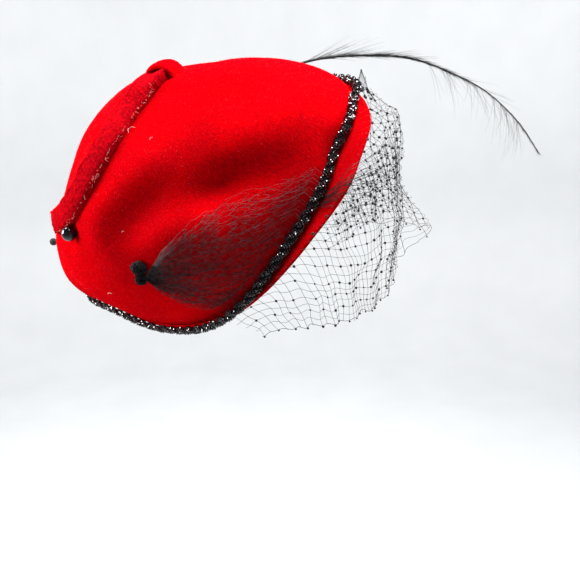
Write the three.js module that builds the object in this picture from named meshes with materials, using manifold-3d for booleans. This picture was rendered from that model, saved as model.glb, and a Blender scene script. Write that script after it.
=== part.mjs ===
// Tilt hat: one blocked felt shell (crown with a narrow brim), a rope of black beads round
// the join of crown and brim, a raised felt strap with a keeper over its upper end, a
// ball-headed hatpin, a dotted net veil gathered to a knot on each side, and a thin feather.
// Millimetres, +Z up, the face looks along -Y, the wearer's right is -X. The origin is the
// middle of the head opening.
//
// The hat has axes of its own: "along" runs from its back to its front in the plane of the
// opening, "across" to the wearer's right, and "rise" out of the opening to the crown.

import * as THREE from 'three';
import { mergeVertices } from 'three/addons/utils/BufferGeometryUtils.js';
import Module from 'manifold-3d';

const wasm = await Module();
wasm.setup();

// ---------------------------------------------------------------- driving dimensions
const PITCH = THREE.MathUtils.degToRad(44); // the front of the opening is lifted by this
const ROLL = THREE.MathUtils.degToRad(34); // and its right side drops by this
const HALF_LENGTH = 122; // of the crown at the bead rope
const HALF_WIDTH = 86;
const CROWN_HEIGHT = 84.5;
const CROWN_TOP_ALONG = 3; // the top lies a little in front of the middle
const FELT = 2.2; // wall thickness
const GAP = 0.3; // between pieces that touch
const BRIM_SLOPE = THREE.MathUtils.degToRad(-10);
const BRIM_LIP = 1.2; // the brim's edge turns up by this
const BRIM_NARROW = 8; // a brim narrower than this has hardly a lip
const ROPE_RADIUS = 3.4;
const NET = 1.2; // thickness of the net's solids
const PIN_BALL = 4.5; // radius
const PIN_SHAFT = 0.7;
const PIN_TAIL = 2.7;
const PIN_CLEARANCE = 0.5; // of its channel through the felt
const CUP_DEPTH = 12; // room for the cup under the ball

// How finely the shell is faceted.
const TURN_STEPS = 80;
const CROWN_STEPS = 13;
const BRIM_STEPS = 3;

// ---------------------------------------------------------------- tables
// Round the hat, every 30 degrees from the front to the back. out and lift move the join of
// crown and brim off the plain ellipse; roundness, fullness and bulge shape the crown's
// profile there.
const SECTION_STEP = 30;
const SECTIONS = [
  { turn: 0, out: -2, lift: -4.4, roundness: 2.15, fullness: 1.32, bulge: 6 },
  { turn: 30, out: -2.6, lift: -3.2, roundness: 1.92, fullness: 1.42, bulge: 5 },
  { turn: 60, out: 0.2, lift: -10, roundness: 1.9, fullness: 1.88, bulge: 5 },
  { turn: 90, out: 5.6, lift: -19, roundness: 2.28, fullness: 2.55, bulge: 8 },
  { turn: 120, out: -7.6, lift: -19.4, roundness: 2.41, fullness: 2.65, bulge: 12 },
  { turn: 150, out: -15, lift: -5.2, roundness: 2.05, fullness: 1.91, bulge: 13.5 },
  { turn: 180, out: -5.3, lift: 4, roundness: 1.8, fullness: 1.4, bulge: 14 },
];

// The brim's width on the wearer's right and left at the same turns, and how much lower the
// left side's join lies.
const BRIM = [
  { turn: 0, right: 4, left: 4, left_drop: 0 },
  { turn: 30, right: 19, left: 2, left_drop: 8 },
  { turn: 60, right: 13, left: 6, left_drop: 5 },
  { turn: 90, right: 4, left: 7, left_drop: 1 },
  { turn: 120, right: 1.2, left: 1.2, left_drop: 0 },
  { turn: 150, right: 1.2, left: 1.2, left_drop: 0 },
  { turn: 180, right: 1.2, left: 1.2, left_drop: 0 },
];

// Hollows (depth over 0) and swellings (under 0) of the crown. Each is centred at a turn and a
// rise from 0 at the rope to 1 at the top, and fades over its two radii, in millimetres. lean
// turns its long axis from level towards the top, in degrees.
const DENTS = [
  { turn: 61, rise: 0.34, depth: 7.8, long: 36, short: 15, lean: 16 },
  { turn: 88, rise: 0.495, depth: 8, long: 31, short: 14, lean: -10 },
  { turn: 67, rise: 0.4, depth: 4.6, long: 17, short: 8.5, lean: 12 },
  { turn: 30, rise: 0.33, depth: -3, long: 36, short: 13, lean: 4 },
  { turn: 22, rise: 0.55, depth: 2.5, long: 20, short: 11, lean: 0 },
  { turn: 108, rise: 0.5, depth: -2.5, long: 12, short: 22, lean: 0 },
  { turn: 318, rise: 0.63, depth: 4, long: 14, short: 20, lean: 0 },
  { turn: 33, rise: 0.05, depth: 3, long: 14, short: 12, lean: 0 },
  { turn: 152, rise: 0.5, depth: -2.6, long: 26, short: 16, lean: 0 },
];

// The strap's middle line over the crown, in the hat's own plan, from its upper end.
const STRAP_PATH = [
  { along: 45, across: -27 },
  { along: 39, across: -11 },
  { along: 30, across: 2 },
  { along: 18, across: 12 },
  { along: 4, across: 25.5 },
  { along: -11, across: 35 },
  { along: -27, across: 41.5 },
  { along: -43, across: 41 },
  { along: -57, across: 34 },
  { along: -67, across: 25 },
];
// Its section, seen along the strap: the left shoulder is high and the face falls to the right.
const STRAP_SECTION = [
  { side: -6.7, up: -3 },
  { side: -7, up: 5.2 },
  { side: -6.5, up: 6.8 },
  { side: -5.6, up: 6.9 },
  { side: -0.5, up: 5.6 },
  { side: 3.8, up: 4 },
  { side: 5.4, up: 2.2 },
  { side: 5.5, up: -3 },
];

// The veil in front of the hat, from its right end to its left. top is the turn where it leaves
// the rope, knee where it bends down outside the brim, mid a point halfway, low its free edge.
const VEIL = [
  { top: 92, knee: [-75, -13, -71], mid: [-80, -20, -73], low: [-84, -28, -75] },
  { top: 72, knee: [-89, -44, -41], mid: [-88, -53, -58], low: [-82, -60, -74] },
  { top: 50, knee: [-94, -71, -3], mid: [-86, -85, -37], low: [-66, -94, -74] },
  { top: 28, knee: [-82, -98, 34], mid: [-66, -114, -7], low: [-41, -121, -65] },
  { top: 8, knee: [-46, -121, 55], mid: [-34, -131, 14], low: [-22, -134, -44] },
  { top: -14, knee: [-4, -126, 57], mid: [-4, -136, 17], low: [9, -168, -26] },
  { top: -38, knee: [42, -106, 60], mid: [50, -122, 16], low: [56, -142, -24] },
  { top: -64, knee: [78, -66, 50], mid: [92, -80, 6], low: [92, -88, -36] },
  { top: -90, knee: [99, -18, 30], mid: [108, -26, -6], low: [104, -32, -46] },
];

// The net's fan over the crown's side, from the knot to the rope: the turn of its upper and lower
// edge, and how far each lies over the join of crown and brim.
const FAN = [
  { upper: 98, upper_height: 59, lower: 101.5, lower_height: 50 },
  { upper: 88, upper_height: 60.5, lower: 100, lower_height: 42 },
  { upper: 78, upper_height: 56, lower: 99.2, lower_height: 32 },
  { upper: 67, upper_height: 44, lower: 97.8, lower_height: 22 },
  { upper: 55, upper_height: 29, lower: 96, lower_height: 13 },
  { upper: 42, upper_height: 10, lower: 92.5, lower_height: 9 },
];

// The knot that gathers the net sits at this turn and rise. Its lumps lie down the crown and
// ahead of that point, each a height over the felt.
const KNOT_SPOT = { turn: 99.1, rise: 0.303 };
const KNOT = [
  { down: 0, ahead: 0, height: 2.5, radius: 3.9 },
  { down: 4.1, ahead: -4, height: 1.9, radius: 3.3 },
  { down: 7.6, ahead: -6.8, height: 1.9, radius: 3.3 },
  { down: 10.2, ahead: -4.2, height: 1, radius: 2.4 },
];

// The feather's shaft from the crown's left side forward, and its outline above and below.
const FEATHER = [
  { at: [6.3, -59.5, 86.6], above: 1, below: 1 },
  { at: [9.5, -70, 91.6], above: 1, below: 1 },
  { at: [13, -90, 96.2], above: 4, below: 2 },
  { at: [15, -118, 98.4], above: 5, below: 4 },
  { at: [16, -152, 97], above: 6, below: 8 },
  { at: [15, -187.8, 85.5], above: 6, below: 14 },
  { at: [14, -211, 74], above: 6, below: 16 },
  { at: [12, -236.2, 52.5], above: 5, below: 13 },
  { at: [10, -254.2, 29], above: 0.6, below: 0.6 },
];

// ---------------------------------------------------------------- the hat's axes
const toHead = new THREE.Matrix4()
  .makeRotationY(-ROLL)
  .multiply(new THREE.Matrix4().makeRotationX(-PITCH));

// A point of the hat's own axes, in the frame of the part.
function place(along, across, rise) {
  return new THREE.Vector3(-across, -along, rise).applyMatrix4(toHead);
}

const RISE = place(0, 0, 1);

// ---------------------------------------------------------------- round the hat
const ROWS = 2 * (SECTIONS.length - 1);

function sectionValue(name, index) {
  const wrapped = ((index % ROWS) + ROWS) % ROWS;
  const onLeft = wrapped >= SECTIONS.length;
  const row = onLeft ? ROWS - wrapped : wrapped;
  if (name === 'brim') {
    return onLeft ? BRIM[row].left : BRIM[row].right;
  }
  if (name === 'lift' && onLeft) {
    return SECTIONS[row].lift - BRIM[row].left_drop;
  }
  return SECTIONS[row][name];
}

// The cubic through four equally spaced values, between the middle two.
function cubic([a, b, c, d], t) {
  const bend = 2 * a - 5 * b + 4 * c - d;
  const twist = 3 * b - a - 3 * c + d;
  return b + 0.5 * t * (c - a + t * (bend + t * twist));
}

function around(name, turn) {
  const spot = turn / SECTION_STEP;
  const row = Math.floor(spot);
  return cubic([-1, 0, 1, 2].map((k) => sectionValue(name, row + k)), spot - row);
}

// A column of a table at share 0..1 of its length, smooth through its rows.
function along(table, read, share) {
  const spot = Math.min(Math.max(share, 0), 1) * (table.length - 1);
  const row = Math.min(Math.floor(spot), table.length - 2);
  const value = (k) => read(table[Math.min(Math.max(row + k, 0), table.length - 1)]);
  return cubic([-1, 0, 1, 2].map(value), spot - row);
}

// ---------------------------------------------------------------- the felt's surface
// The join of crown and brim, as [along, across, rise].
function join(turn) {
  const angle = THREE.MathUtils.degToRad(turn);
  const out = around('out', turn);
  return [
    (HALF_LENGTH + out) * Math.cos(angle),
    (HALF_WIDTH + out) * Math.sin(angle),
    around('lift', turn),
  ];
}

function smoothCrown(turn, rise) {
  const [foot, side, base] = join(turn);
  const angle = (rise * Math.PI) / 2;
  const reach = Math.cos(angle);
  const height = (1 - reach ** around('roundness', turn)) ** (1 / around('fullness', turn));
  const span = Math.hypot(foot - CROWN_TOP_ALONG, side);
  const swell = reach * (1 + (around('bulge', turn) / span) * Math.sin(2 * angle));
  return place(
    CROWN_TOP_ALONG + (foot - CROWN_TOP_ALONG) * swell,
    side * swell,
    base + (CROWN_HEIGHT - base) * height,
  );
}

// Outward normal of a surface given as a function of turn and rise.
function normalOf(surface, turn, rise) {
  const level = surface(turn + 1, rise).sub(surface(turn - 1, rise));
  const uphill = surface(turn, rise + 0.01).sub(surface(turn, rise - 0.01));
  return uphill.cross(level).normalize();
}

const dents = DENTS.map((dent) => {
  const centre = smoothCrown(dent.turn, dent.rise);
  const normal = normalOf(smoothCrown, dent.turn, dent.rise);
  const level = smoothCrown(dent.turn + 1, dent.rise).sub(centre);
  level.addScaledVector(normal, -level.dot(normal)).normalize();
  level.applyAxisAngle(normal, THREE.MathUtils.degToRad(-dent.lean));
  const steep = new THREE.Vector3().crossVectors(level, normal);
  return { ...dent, centre, normal, level, steep };
});

const DENT_REACH = 30; // how far off its own wall a dent is felt

function crown(turn, rise) {
  const point = smoothCrown(turn, rise);
  const moved = point.clone();
  for (const dent of dents) {
    const away = point.clone().sub(dent.centre);
    const share =
      (away.dot(dent.level) / dent.long) ** 2 +
      (away.dot(dent.steep) / dent.short) ** 2 +
      (away.dot(dent.normal) / DENT_REACH) ** 2;
    moved.addScaledVector(dent.normal, -dent.depth * Math.exp(-share));
  }
  return moved;
}

// Outward across the brim, in the plane of the opening.
function outward(turn) {
  const [a, b] = [join(turn - 1), join(turn + 1)];
  return place(b[1] - a[1], a[0] - b[0], 0).normalize();
}

// The brim's upper face at a distance from the join.
function brim(turn, distance) {
  const share = distance / Math.max(around('brim', turn), BRIM_NARROW);
  const lift = distance * Math.sin(BRIM_SLOPE) + BRIM_LIP * Math.min(share, 1.2) ** 3;
  return crown(turn, 0)
    .addScaledVector(outward(turn), distance * Math.cos(BRIM_SLOPE))
    .addScaledVector(RISE, lift);
}

// A point over the felt, a height off the crown.
function over(turn, rise, height) {
  return crown(turn, rise).addScaledVector(normalOf(crown, turn, rise), height);
}

// The turn and rise of the crown's point at a place of the hat's plan.
function findOnCrown(spot) {
  const heading = Math.atan2(spot.across, spot.along - CROWN_TOP_ALONG);
  let turn = THREE.MathUtils.radToDeg(heading);
  for (let step = 0; step < 20; step += 1) {
    const [foot, side] = join(turn);
    const miss = heading - Math.atan2(side, foot - CROWN_TOP_ALONG);
    turn += THREE.MathUtils.radToDeg(Math.atan2(Math.sin(miss), Math.cos(miss)));
  }
  const [foot, side] = join(turn);
  const span = Math.hypot(foot - CROWN_TOP_ALONG, side);
  const wanted = Math.hypot(spot.across, spot.along - CROWN_TOP_ALONG) / span;
  let [low, high] = [0.35, 1];
  for (let step = 0; step < 30; step += 1) {
    const rise = (low + high) / 2;
    const angle = (rise * Math.PI) / 2;
    const reach = Math.cos(angle) * (1 + (around('bulge', turn) / span) * Math.sin(2 * angle));
    if (reach > wanted) {
      low = rise;
    } else {
      high = rise;
    }
  }
  return { turn, rise: Math.min(low, 0.985) };
}

// ---------------------------------------------------------------- meshes
function geometryOf(points, triangles) {
  const geometry = new THREE.BufferGeometry();
  geometry.setAttribute(
    'position',
    new THREE.Float32BufferAttribute(points.flatMap((p) => [p.x, p.y, p.z]), 3),
  );
  geometry.setIndex(triangles);
  return geometry;
}

// Signed volume, to turn a closed mesh's faces outwards whichever way it was built.
function facingOut(points, triangles) {
  let volume = 0;
  for (let i = 0; i < triangles.length; i += 3) {
    const [a, b, c] = [0, 1, 2].map((k) => points[triangles[i + k]]);
    volume += a.dot(new THREE.Vector3().crossVectors(b, c));
  }
  return volume > 0 ? triangles : triangles.slice().reverse();
}

// A closed solid through rings of equally many points, with its ends filled.
function loft(rings) {
  const sides = rings[0].length;
  const points = rings.flat();
  const triangles = [];
  for (let j = 0; j + 1 < rings.length; j += 1) {
    for (let i = 0; i < sides; i += 1) {
      const [a, b] = [j * sides + i, j * sides + ((i + 1) % sides)];
      triangles.push(a, b, a + sides, b, b + sides, a + sides);
    }
  }
  for (const [j, back] of [[0, true], [rings.length - 1, false]]) {
    const middle = points.length;
    const sum = rings[j].reduce((total, p) => total.add(p), new THREE.Vector3());
    points.push(sum.multiplyScalar(1 / sides));
    for (let i = 0; i < sides; i += 1) {
      const [a, b] = [j * sides + i, j * sides + ((i + 1) % sides)];
      triangles.push(middle, ...(back ? [b, a] : [a, b]));
    }
  }
  return geometryOf(points, facingOut(points, triangles));
}

// A ring-shaped solid: the same, with its last ring joined to the first.
function loop(rings) {
  const sides = rings[0].length;
  const points = rings.flat();
  const triangles = [];
  rings.forEach((ring, j) => {
    const next = ((j + 1) % rings.length) * sides;
    for (let i = 0; i < sides; i += 1) {
      const k = (i + 1) % sides;
      triangles.push(j * sides + i, j * sides + k, next + i, j * sides + k, next + k, next + i);
    }
  });
  return geometryOf(points, facingOut(points, triangles));
}

// A wall of even thickness about a grid of points, closed round its edge.
function wall(grid, thickness) {
  const [rows, columns] = [grid.length, grid[0].length];
  const at = (i, j) => grid[Math.min(Math.max(i, 0), rows - 1)][Math.min(Math.max(j, 0), columns - 1)];
  const rings = grid.map((row, i) => {
    const sides = row.map((point, j) => {
      const downhill = at(i + 1, j).clone().sub(at(i - 1, j));
      const level = at(i, j + 1).clone().sub(at(i, j - 1));
      const normal = downhill.cross(level).normalize();
      return [1, -1].map((k) => point.clone().addScaledVector(normal, (k * thickness) / 2));
    });
    return [...sides.map(([a]) => a), ...sides.map(([, b]) => b).reverse()];
  });
  const points = rings.flat();
  const girth = 2 * columns;
  const triangles = [];
  for (let i = 0; i + 1 < rows; i += 1) {
    for (let j = 0; j < girth; j += 1) {
      const [a, b] = [i * girth + j, i * girth + ((j + 1) % girth)];
      triangles.push(a, b, a + girth, b, b + girth, a + girth);
    }
  }
  for (const [i, back] of [[0, true], [rows - 1, false]]) {
    for (let j = 0; j + 1 < columns; j += 1) {
      const [a, b] = [i * girth + j, i * girth + j + 1];
      const [c, d] = [(i + 1) * girth - 2 - j, (i + 1) * girth - 1 - j];
      triangles.push(...(back ? [a, c, b, a, d, c] : [a, b, c, a, c, d]));
    }
  }
  return geometryOf(points, facingOut(points, triangles));
}

// The same geometry with shared corners merged and its faces turned outwards.
function closed(geometry) {
  geometry.deleteAttribute('normal');
  geometry.deleteAttribute('uv');
  const merged = mergeVertices(geometry, 1e-4);
  const place = merged.attributes.position;
  const points = Array.from({ length: place.count }, (_, i) =>
    new THREE.Vector3().fromBufferAttribute(place, i),
  );
  const triangles = [];
  for (let i = 0; i < merged.index.count; i += 3) {
    const corners = [0, 1, 2].map((k) => merged.index.getX(i + k));
    if (new Set(corners).size === 3) {
      triangles.push(...corners);
    }
  }
  return geometryOf(points, facingOut(points, triangles));
}

// The section's points on a station with a centre and two directions.
function ring(station, section) {
  return section.map(({ side, up }) =>
    station.centre
      .clone()
      .addScaledVector(station.side, side)
      .addScaledVector(station.up, up),
  );
}

function circle(radius, sides) {
  return Array.from({ length: sides }, (_, i) => {
    const angle = (2 * Math.PI * i) / sides;
    return { side: radius * Math.cos(angle), up: radius * Math.sin(angle) };
  });
}

// Stations with their directions worked out from a row of centres and what is up there.
function stations(centres, ups) {
  return centres.map((centre, i) => {
    const next = centres[Math.min(i + 1, centres.length - 1)];
    const tangent = next.clone().sub(centres[Math.max(i - 1, 0)]).normalize();
    const side = new THREE.Vector3().crossVectors(ups[i], tangent).normalize();
    return { centre, side, up: new THREE.Vector3().crossVectors(tangent, side) };
  });
}

// ---------------------------------------------------------------- joins and cuts
function solidOf(geometry) {
  const vertProperties = new Float32Array(geometry.attributes.position.array);
  const triVerts = new Uint32Array(geometry.index.array);
  return new wasm.Manifold(new wasm.Mesh({ numProp: 3, vertProperties, triVerts }));
}

function geometryFrom(solid) {
  const { vertProperties, triVerts } = solid.getMesh();
  const geometry = new THREE.BufferGeometry();
  geometry.setAttribute('position', new THREE.Float32BufferAttribute(vertProperties, 3));
  geometry.setIndex(Array.from(triVerts));
  return geometry;
}

function cut(geometry, ...tools) {
  const solid = tools.reduce((left, tool) => left.subtract(solidOf(tool)), solidOf(geometry));
  return geometryFrom(solid);
}

// ---------------------------------------------------------------- felt
const steps = (count) => Array.from({ length: count }, (_, i) => i / count);
const TURNS = steps(TURN_STEPS).map((share) => share * 360);

// The felt's outer face as rows of points, from past the brim's edge up, and its top point.
function outerFace(past) {
  const flat = steps(BRIM_STEPS).map((share) =>
    TURNS.map((turn) => brim(turn, (1 - share) * (Math.max(around('brim', turn), 1) + past))),
  );
  const upper = steps(CROWN_STEPS).map((rise) => TURNS.map((turn) => crown(turn, rise)));
  return { rows: [...flat, ...upper], top: crown(0, 1) };
}

// A dome-shaped wall between the outer face moved out by one distance and in by another, which
// can reach past the brim's edge.
function domeWall(outer, inner, past = 0) {
  const { rows, top } = outerFace(past);
  const points = [...rows.flat(), top];
  const skin = [];
  for (let j = 0; j < rows.length; j += 1) {
    for (let i = 0; i < TURN_STEPS; i += 1) {
      const next = (i + 1) % TURN_STEPS;
      const [a, b] = [j * TURN_STEPS + i, j * TURN_STEPS + next];
      if (j === rows.length - 1) {
        skin.push(a, points.length - 1, b);
      } else {
        skin.push(a, a + TURN_STEPS, b, b, a + TURN_STEPS, b + TURN_STEPS);
      }
    }
  }
  const face = geometryOf(points, skin);
  face.computeVertexNormals();
  const normals = points.map((_, i) => new THREE.Vector3().fromBufferAttribute(face.attributes.normal, i));
  if (normals[points.length - 1].dot(RISE) < 0) {
    normals.forEach((normal) => normal.negate());
  }
  const moved = (distance) => points.map((p, i) => p.clone().addScaledVector(normals[i], distance));
  const triangles = [...skin, ...skin.map((i) => i + points.length).reverse()];
  for (let i = 0; i < TURN_STEPS; i += 1) {
    const next = (i + 1) % TURN_STEPS;
    const [a, b] = [i + points.length, next + points.length];
    triangles.push(i, next, a, next, b, a);
  }
  const all = [...moved(outer), ...moved(-inner)];
  return geometryOf(all, facingOut(all, triangles));
}

// A solid of revolution with its axis from a foot along a direction.
function spun(profile, foot, direction, sides) {
  const points = profile.map(([radius, height]) => new THREE.Vector2(radius, height));
  const turn = new THREE.Quaternion().setFromUnitVectors(new THREE.Vector3(0, 1, 0), direction);
  const geometry = new THREE.LatheGeometry(points, sides).applyQuaternion(turn);
  return closed(geometry.translate(foot.x, foot.y, foot.z));
}

// ---------------------------------------------------------------- hatpin
const PIN_SIDES = 16;
const PIN_SPOT = { turn: 127, rise: 0.514, height: 2 }; // of its ball's centre, over the crown
const PIN_TIP = new THREE.Vector3(46, 110.3, -34);
const FLARE = 9; // length of the flared end

const pinBall = over(PIN_SPOT.turn, PIN_SPOT.rise, PIN_SPOT.height);
const pinLength = pinBall.distanceTo(PIN_TIP);
const pinWay = PIN_TIP.clone().sub(pinBall).normalize();

// The pin from its ball along its shaft to the flared end, as radius and distance.
function hatpin() {
  const turnOff = Math.asin(PIN_SHAFT / PIN_BALL);
  const arc = steps(12).map((share) => {
    const angle = (Math.PI - turnOff) * share;
    return [PIN_BALL * Math.sin(angle), -PIN_BALL * Math.cos(angle)];
  });
  const neck = [PIN_SHAFT, PIN_BALL * Math.cos(turnOff)];
  const flare = [[PIN_SHAFT, pinLength - FLARE], [PIN_TAIL, pinLength], [0, pinLength]];
  return spun([[0, -PIN_BALL], ...arc.slice(1), neck, ...flare], pinBall, pinWay, PIN_SIDES);
}

// The channel through the felt, with room round the shaft.
function pinHole() {
  const radius = PIN_SHAFT + PIN_CLEARANCE;
  return spun([[0, 0], [radius, 0], [radius, pinLength], [0, pinLength]], pinBall, pinWay, PIN_SIDES);
}

function ball(radius, centre) {
  return closed(new THREE.SphereGeometry(radius, 14, 10).translate(centre.x, centre.y, centre.z));
}

// The felt, drawn in to a cup under the ball, with the pin's channel through it.
function feltShell() {
  const bowl = PIN_BALL + 2 * GAP;
  const cup = solidOf(ball(bowl + FELT, pinBall)).intersect(solidOf(domeWall(0, CUP_DEPTH)));
  const shell = solidOf(domeWall(0, FELT)).add(cup);
  const hollow = solidOf(ball(bowl, pinBall)).add(solidOf(pinHole()));
  return geometryFrom(shell.subtract(hollow));
}

// ---------------------------------------------------------------- rope of beads
const ROPE_STATIONS = 96;
const ROPE_SIDES = 8;
const FACET_ROOM = 0.3; // for the facets of the two surfaces

// The rope's centre at a turn: in the corner of crown and brim where the brim is wide enough to
// carry it, and against the crown's edge elsewhere.
function ropeCentre(turn) {
  const foot = crown(turn, 0);
  const width = around('brim', turn);
  const onBrim = Math.min(Math.max((width - 1) / 7, 0.12), 1);
  const seat = normalOf(crown, turn, 0.03).addScaledVector(RISE, onBrim).normalize();
  const near = steps(8).map((share) => brim(turn, share * Math.min(width, 12)));
  near.push(...steps(14).map((share) => crown(turn, 0.22 * share)));
  near.push(...[0, 0.5, 1].map((share) => brim(turn, width).addScaledVector(RISE, -share * FELT)));
  const room = ROPE_RADIUS + GAP + FACET_ROOM;
  let distance = 0;
  let centre = foot;
  while (Math.min(...near.map((point) => point.distanceTo(centre))) < room) {
    distance += 0.05;
    centre = foot.clone().addScaledVector(seat, distance);
  }
  return centre;
}

function beadRope() {
  const rings = steps(ROPE_STATIONS).map((share) => {
    const turn = share * 360;
    const side = outward(turn);
    return ring({ centre: ropeCentre(turn), side, up: RISE }, circle(ROPE_RADIUS, ROPE_SIDES));
  });
  return loop(rings);
}

// ---------------------------------------------------------------- strap and keeper
const STRAP_STATIONS = 36;
const STRAP_NOSE = 0.07; // share of its length over which an end rounds off
const KEEPER_STATIONS = 14;
const KEEPER_LENGTH = 21; // over the strap, from side to side
const KEEPER_HEIGHT = 11.4; // of its middle above the felt
const KEEPER_SPOT = 0.1; // share of the strap's length
const KEEPER_SECTION = [
  { side: -6.5, up: -1.2 },
  { side: -7, up: 0.4 },
  { side: -5.5, up: 1.8 },
  { side: 0, up: 2.3 },
  { side: 5.5, up: 1.8 },
  { side: 7, up: 0.4 },
  { side: 6.5, up: -1.2 },
];

function strapLine(share) {
  const spot = {
    along: along(STRAP_PATH, (row) => row.along, share),
    across: along(STRAP_PATH, (row) => row.across, share),
  };
  const { turn, rise } = findOnCrown(spot);
  return { centre: crown(turn, rise), normal: normalOf(crown, turn, rise) };
}

// Rounds an end off: 0 at the very end, 1 once past its nose.
function nose(share, length) {
  const t = Math.min(share / length, 1);
  return Math.sqrt(1 - (1 - t) ** 2);
}

function strap(grow) {
  const shares = Array.from({ length: STRAP_STATIONS + 1 }, (_, i) => {
    const even = i / STRAP_STATIONS;
    return even - Math.sin(4 * Math.PI * even) * 0.012;
  });
  const line = shares.map(strapLine);
  const route = stations(line.map(({ centre }) => centre), line.map(({ normal }) => normal));
  const rings = route.map((station, i) => {
    const share = shares[i];
    const size = Math.max(Math.min(nose(share + 0.01, STRAP_NOSE), nose(1.01 - share, STRAP_NOSE)), 0.3);
    const section = STRAP_SECTION.map(({ side, up }) => {
      const long = Math.hypot(side, up - 3);
      return {
        side: side * size * (1 + grow / long),
        up: up > 0 ? 3 * size + (up - 3) * size * (1 + grow / long) : up - grow,
      };
    });
    return ring(station, section);
  });
  return loft(rings);
}

function keeper() {
  const { centre, normal } = strapLine(KEEPER_SPOT);
  const ahead = strapLine(KEEPER_SPOT + 0.03).centre.sub(centre).normalize();
  const over = new THREE.Vector3().crossVectors(normal, ahead).normalize();
  const centres = Array.from({ length: KEEPER_STATIONS + 1 }, (_, i) => {
    const angle = Math.PI * (i / KEEPER_STATIONS);
    return centre
      .clone()
      .addScaledVector(over, (-KEEPER_LENGTH / 2) * Math.cos(angle))
      .addScaledVector(normal, KEEPER_HEIGHT * Math.sin(angle) ** 0.7 - 3);
  });
  const middle = centre.clone().addScaledVector(normal, -4);
  const ups = centres.map((point) => point.clone().sub(middle).normalize());
  const route = stations(centres, ups);
  return loft(route.map((station) => ring(station, KEEPER_SECTION)));
}

// ---------------------------------------------------------------- veil
const FAN_ROWS = 9;
const FAN_COLUMNS = 12;
const FAN_HEIGHT = 1.1; // of the net's middle over the felt
const VEIL_COLUMNS = 46;
const VEIL_ROWS = 12;
const EDGE_ROOM = 1.9; // of the net's middle over the brim

// The knot's lumps joined, each grown by a distance.
function knot(mirror, grow = 0) {
  const { turn, rise } = KNOT_SPOT;
  const [spot, normal] = [crown(mirror * turn, rise), normalOf(crown, mirror * turn, rise)];
  const down = crown(mirror * turn, rise - 0.02).sub(crown(mirror * turn, rise + 0.02)).normalize();
  const ahead = crown(mirror * (turn - 1), rise).sub(crown(mirror * (turn + 1), rise)).normalize();
  const lumps = KNOT.map((lump) => {
    const centre = spot
      .clone()
      .addScaledVector(down, lump.down)
      .addScaledVector(ahead, lump.ahead)
      .addScaledVector(normal, lump.height);
    return solidOf(ball(lump.radius + grow, centre));
  });
  return geometryFrom(lumps.reduce((all, lump) => all.add(lump)));
}

// The rise of the crown's point a height over the join.
function riseAt(turn, height) {
  const foot = crown(turn, 0);
  let [low, high] = [0, 0.7];
  for (let step = 0; step < 24; step += 1) {
    const rise = (low + high) / 2;
    if (crown(turn, rise).sub(foot).dot(RISE) < height) {
      low = rise;
    } else {
      high = rise;
    }
  }
  return low;
}

function fan(mirror) {
  const grid = Array.from({ length: FAN_COLUMNS + 1 }, (_, i) => {
    const read = (name) => along(FAN, (row) => row[name], i / FAN_COLUMNS);
    return Array.from({ length: FAN_ROWS + 1 }, (__, j) => {
      const share = j / FAN_ROWS;
      const turn = mirror * THREE.MathUtils.lerp(read('upper'), read('lower'), share);
      const height = THREE.MathUtils.lerp(read('upper_height'), read('lower_height'), share);
      return over(turn, riseAt(turn, height), FAN_HEIGHT);
    });
  });
  return wall(grid, NET);
}

// One line of the veil from the rope to its free edge, at a share of the way round.
function veilLine(share) {
  const turn = along(VEIL, (row) => row.top, share);
  const point = (name) =>
    new THREE.Vector3(...[0, 1, 2].map((k) => along(VEIL, (row) => row[name][k], share)));
  const out = outward(turn);
  const clear = ropeCentre(turn).sub(crown(turn, 0)).dot(out) + ROPE_RADIUS + GAP + NET;
  const width = Math.max(around('brim', turn), clear);
  const start = brim(turn, clear).addScaledVector(RISE, EDGE_ROOM);
  const edge = brim(turn, width).addScaledVector(out, 1.5).addScaledVector(RISE, EDGE_ROOM + 0.6);
  const inner = start.clone().lerp(edge, 0.5);
  const line = [start, inner, edge, point('knee'), point('mid'), point('low')];
  return new THREE.CatmullRomCurve3(line, false, 'centripetal');
}

function veil() {
  const grid = Array.from({ length: VEIL_COLUMNS + 1 }, (_, i) =>
    veilLine(i / VEIL_COLUMNS).getSpacedPoints(VEIL_ROWS),
  );
  return wall(grid, NET);
}

// ---------------------------------------------------------------- feather
const VANE_FROM = 0.09; // share of the shaft that is bare quill
const VANE_STATIONS = 30;
const VANE_THICK = 1.6;
const QUILL_RADIUS = 1;

const shaft = new THREE.CatmullRomCurve3(FEATHER.map(({ at }) => new THREE.Vector3(...at)));

function shaftFrame(share) {
  const tangent = shaft.getTangent(share);
  const up = new THREE.Vector3().crossVectors(new THREE.Vector3(1, 0, 0), tangent).normalize();
  if (up.z < 0) {
    up.negate();
  }
  return { centre: shaft.getPoint(share), up, side: new THREE.Vector3().crossVectors(tangent, up) };
}

function vane() {
  const rings = Array.from({ length: VANE_STATIONS + 1 }, (_, i) => {
    const share = VANE_FROM + ((1 - VANE_FROM) * i) / VANE_STATIONS;
    const above = along(FEATHER, (row) => row.above, share);
    const below = along(FEATHER, (row) => row.below, share);
    const half = (VANE_THICK / 2) * Math.min(1, 0.5 + (1 - share) * 6);
    return ring(shaftFrame(share), [
      { side: 0, up: above },
      { side: half, up: above * 0.35 },
      { side: half, up: -below * 0.35 },
      { side: 0, up: -below },
      { side: -half, up: -below * 0.35 },
      { side: -half, up: above * 0.35 },
    ]);
  });
  return loft(rings);
}

function quill() {
  const end = VANE_FROM - (2 * GAP) / shaft.getLength();
  const rings = steps(7).map((share) => ring(shaftFrame((share * end * 7) / 6), circle(QUILL_RADIUS, 8)));
  return loft(rings);
}

// ---------------------------------------------------------------- assembly
const FELT_RED = 0xc8060f;
const BLACK = 0x0b0b0d;

const hat = new THREE.Group();

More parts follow.
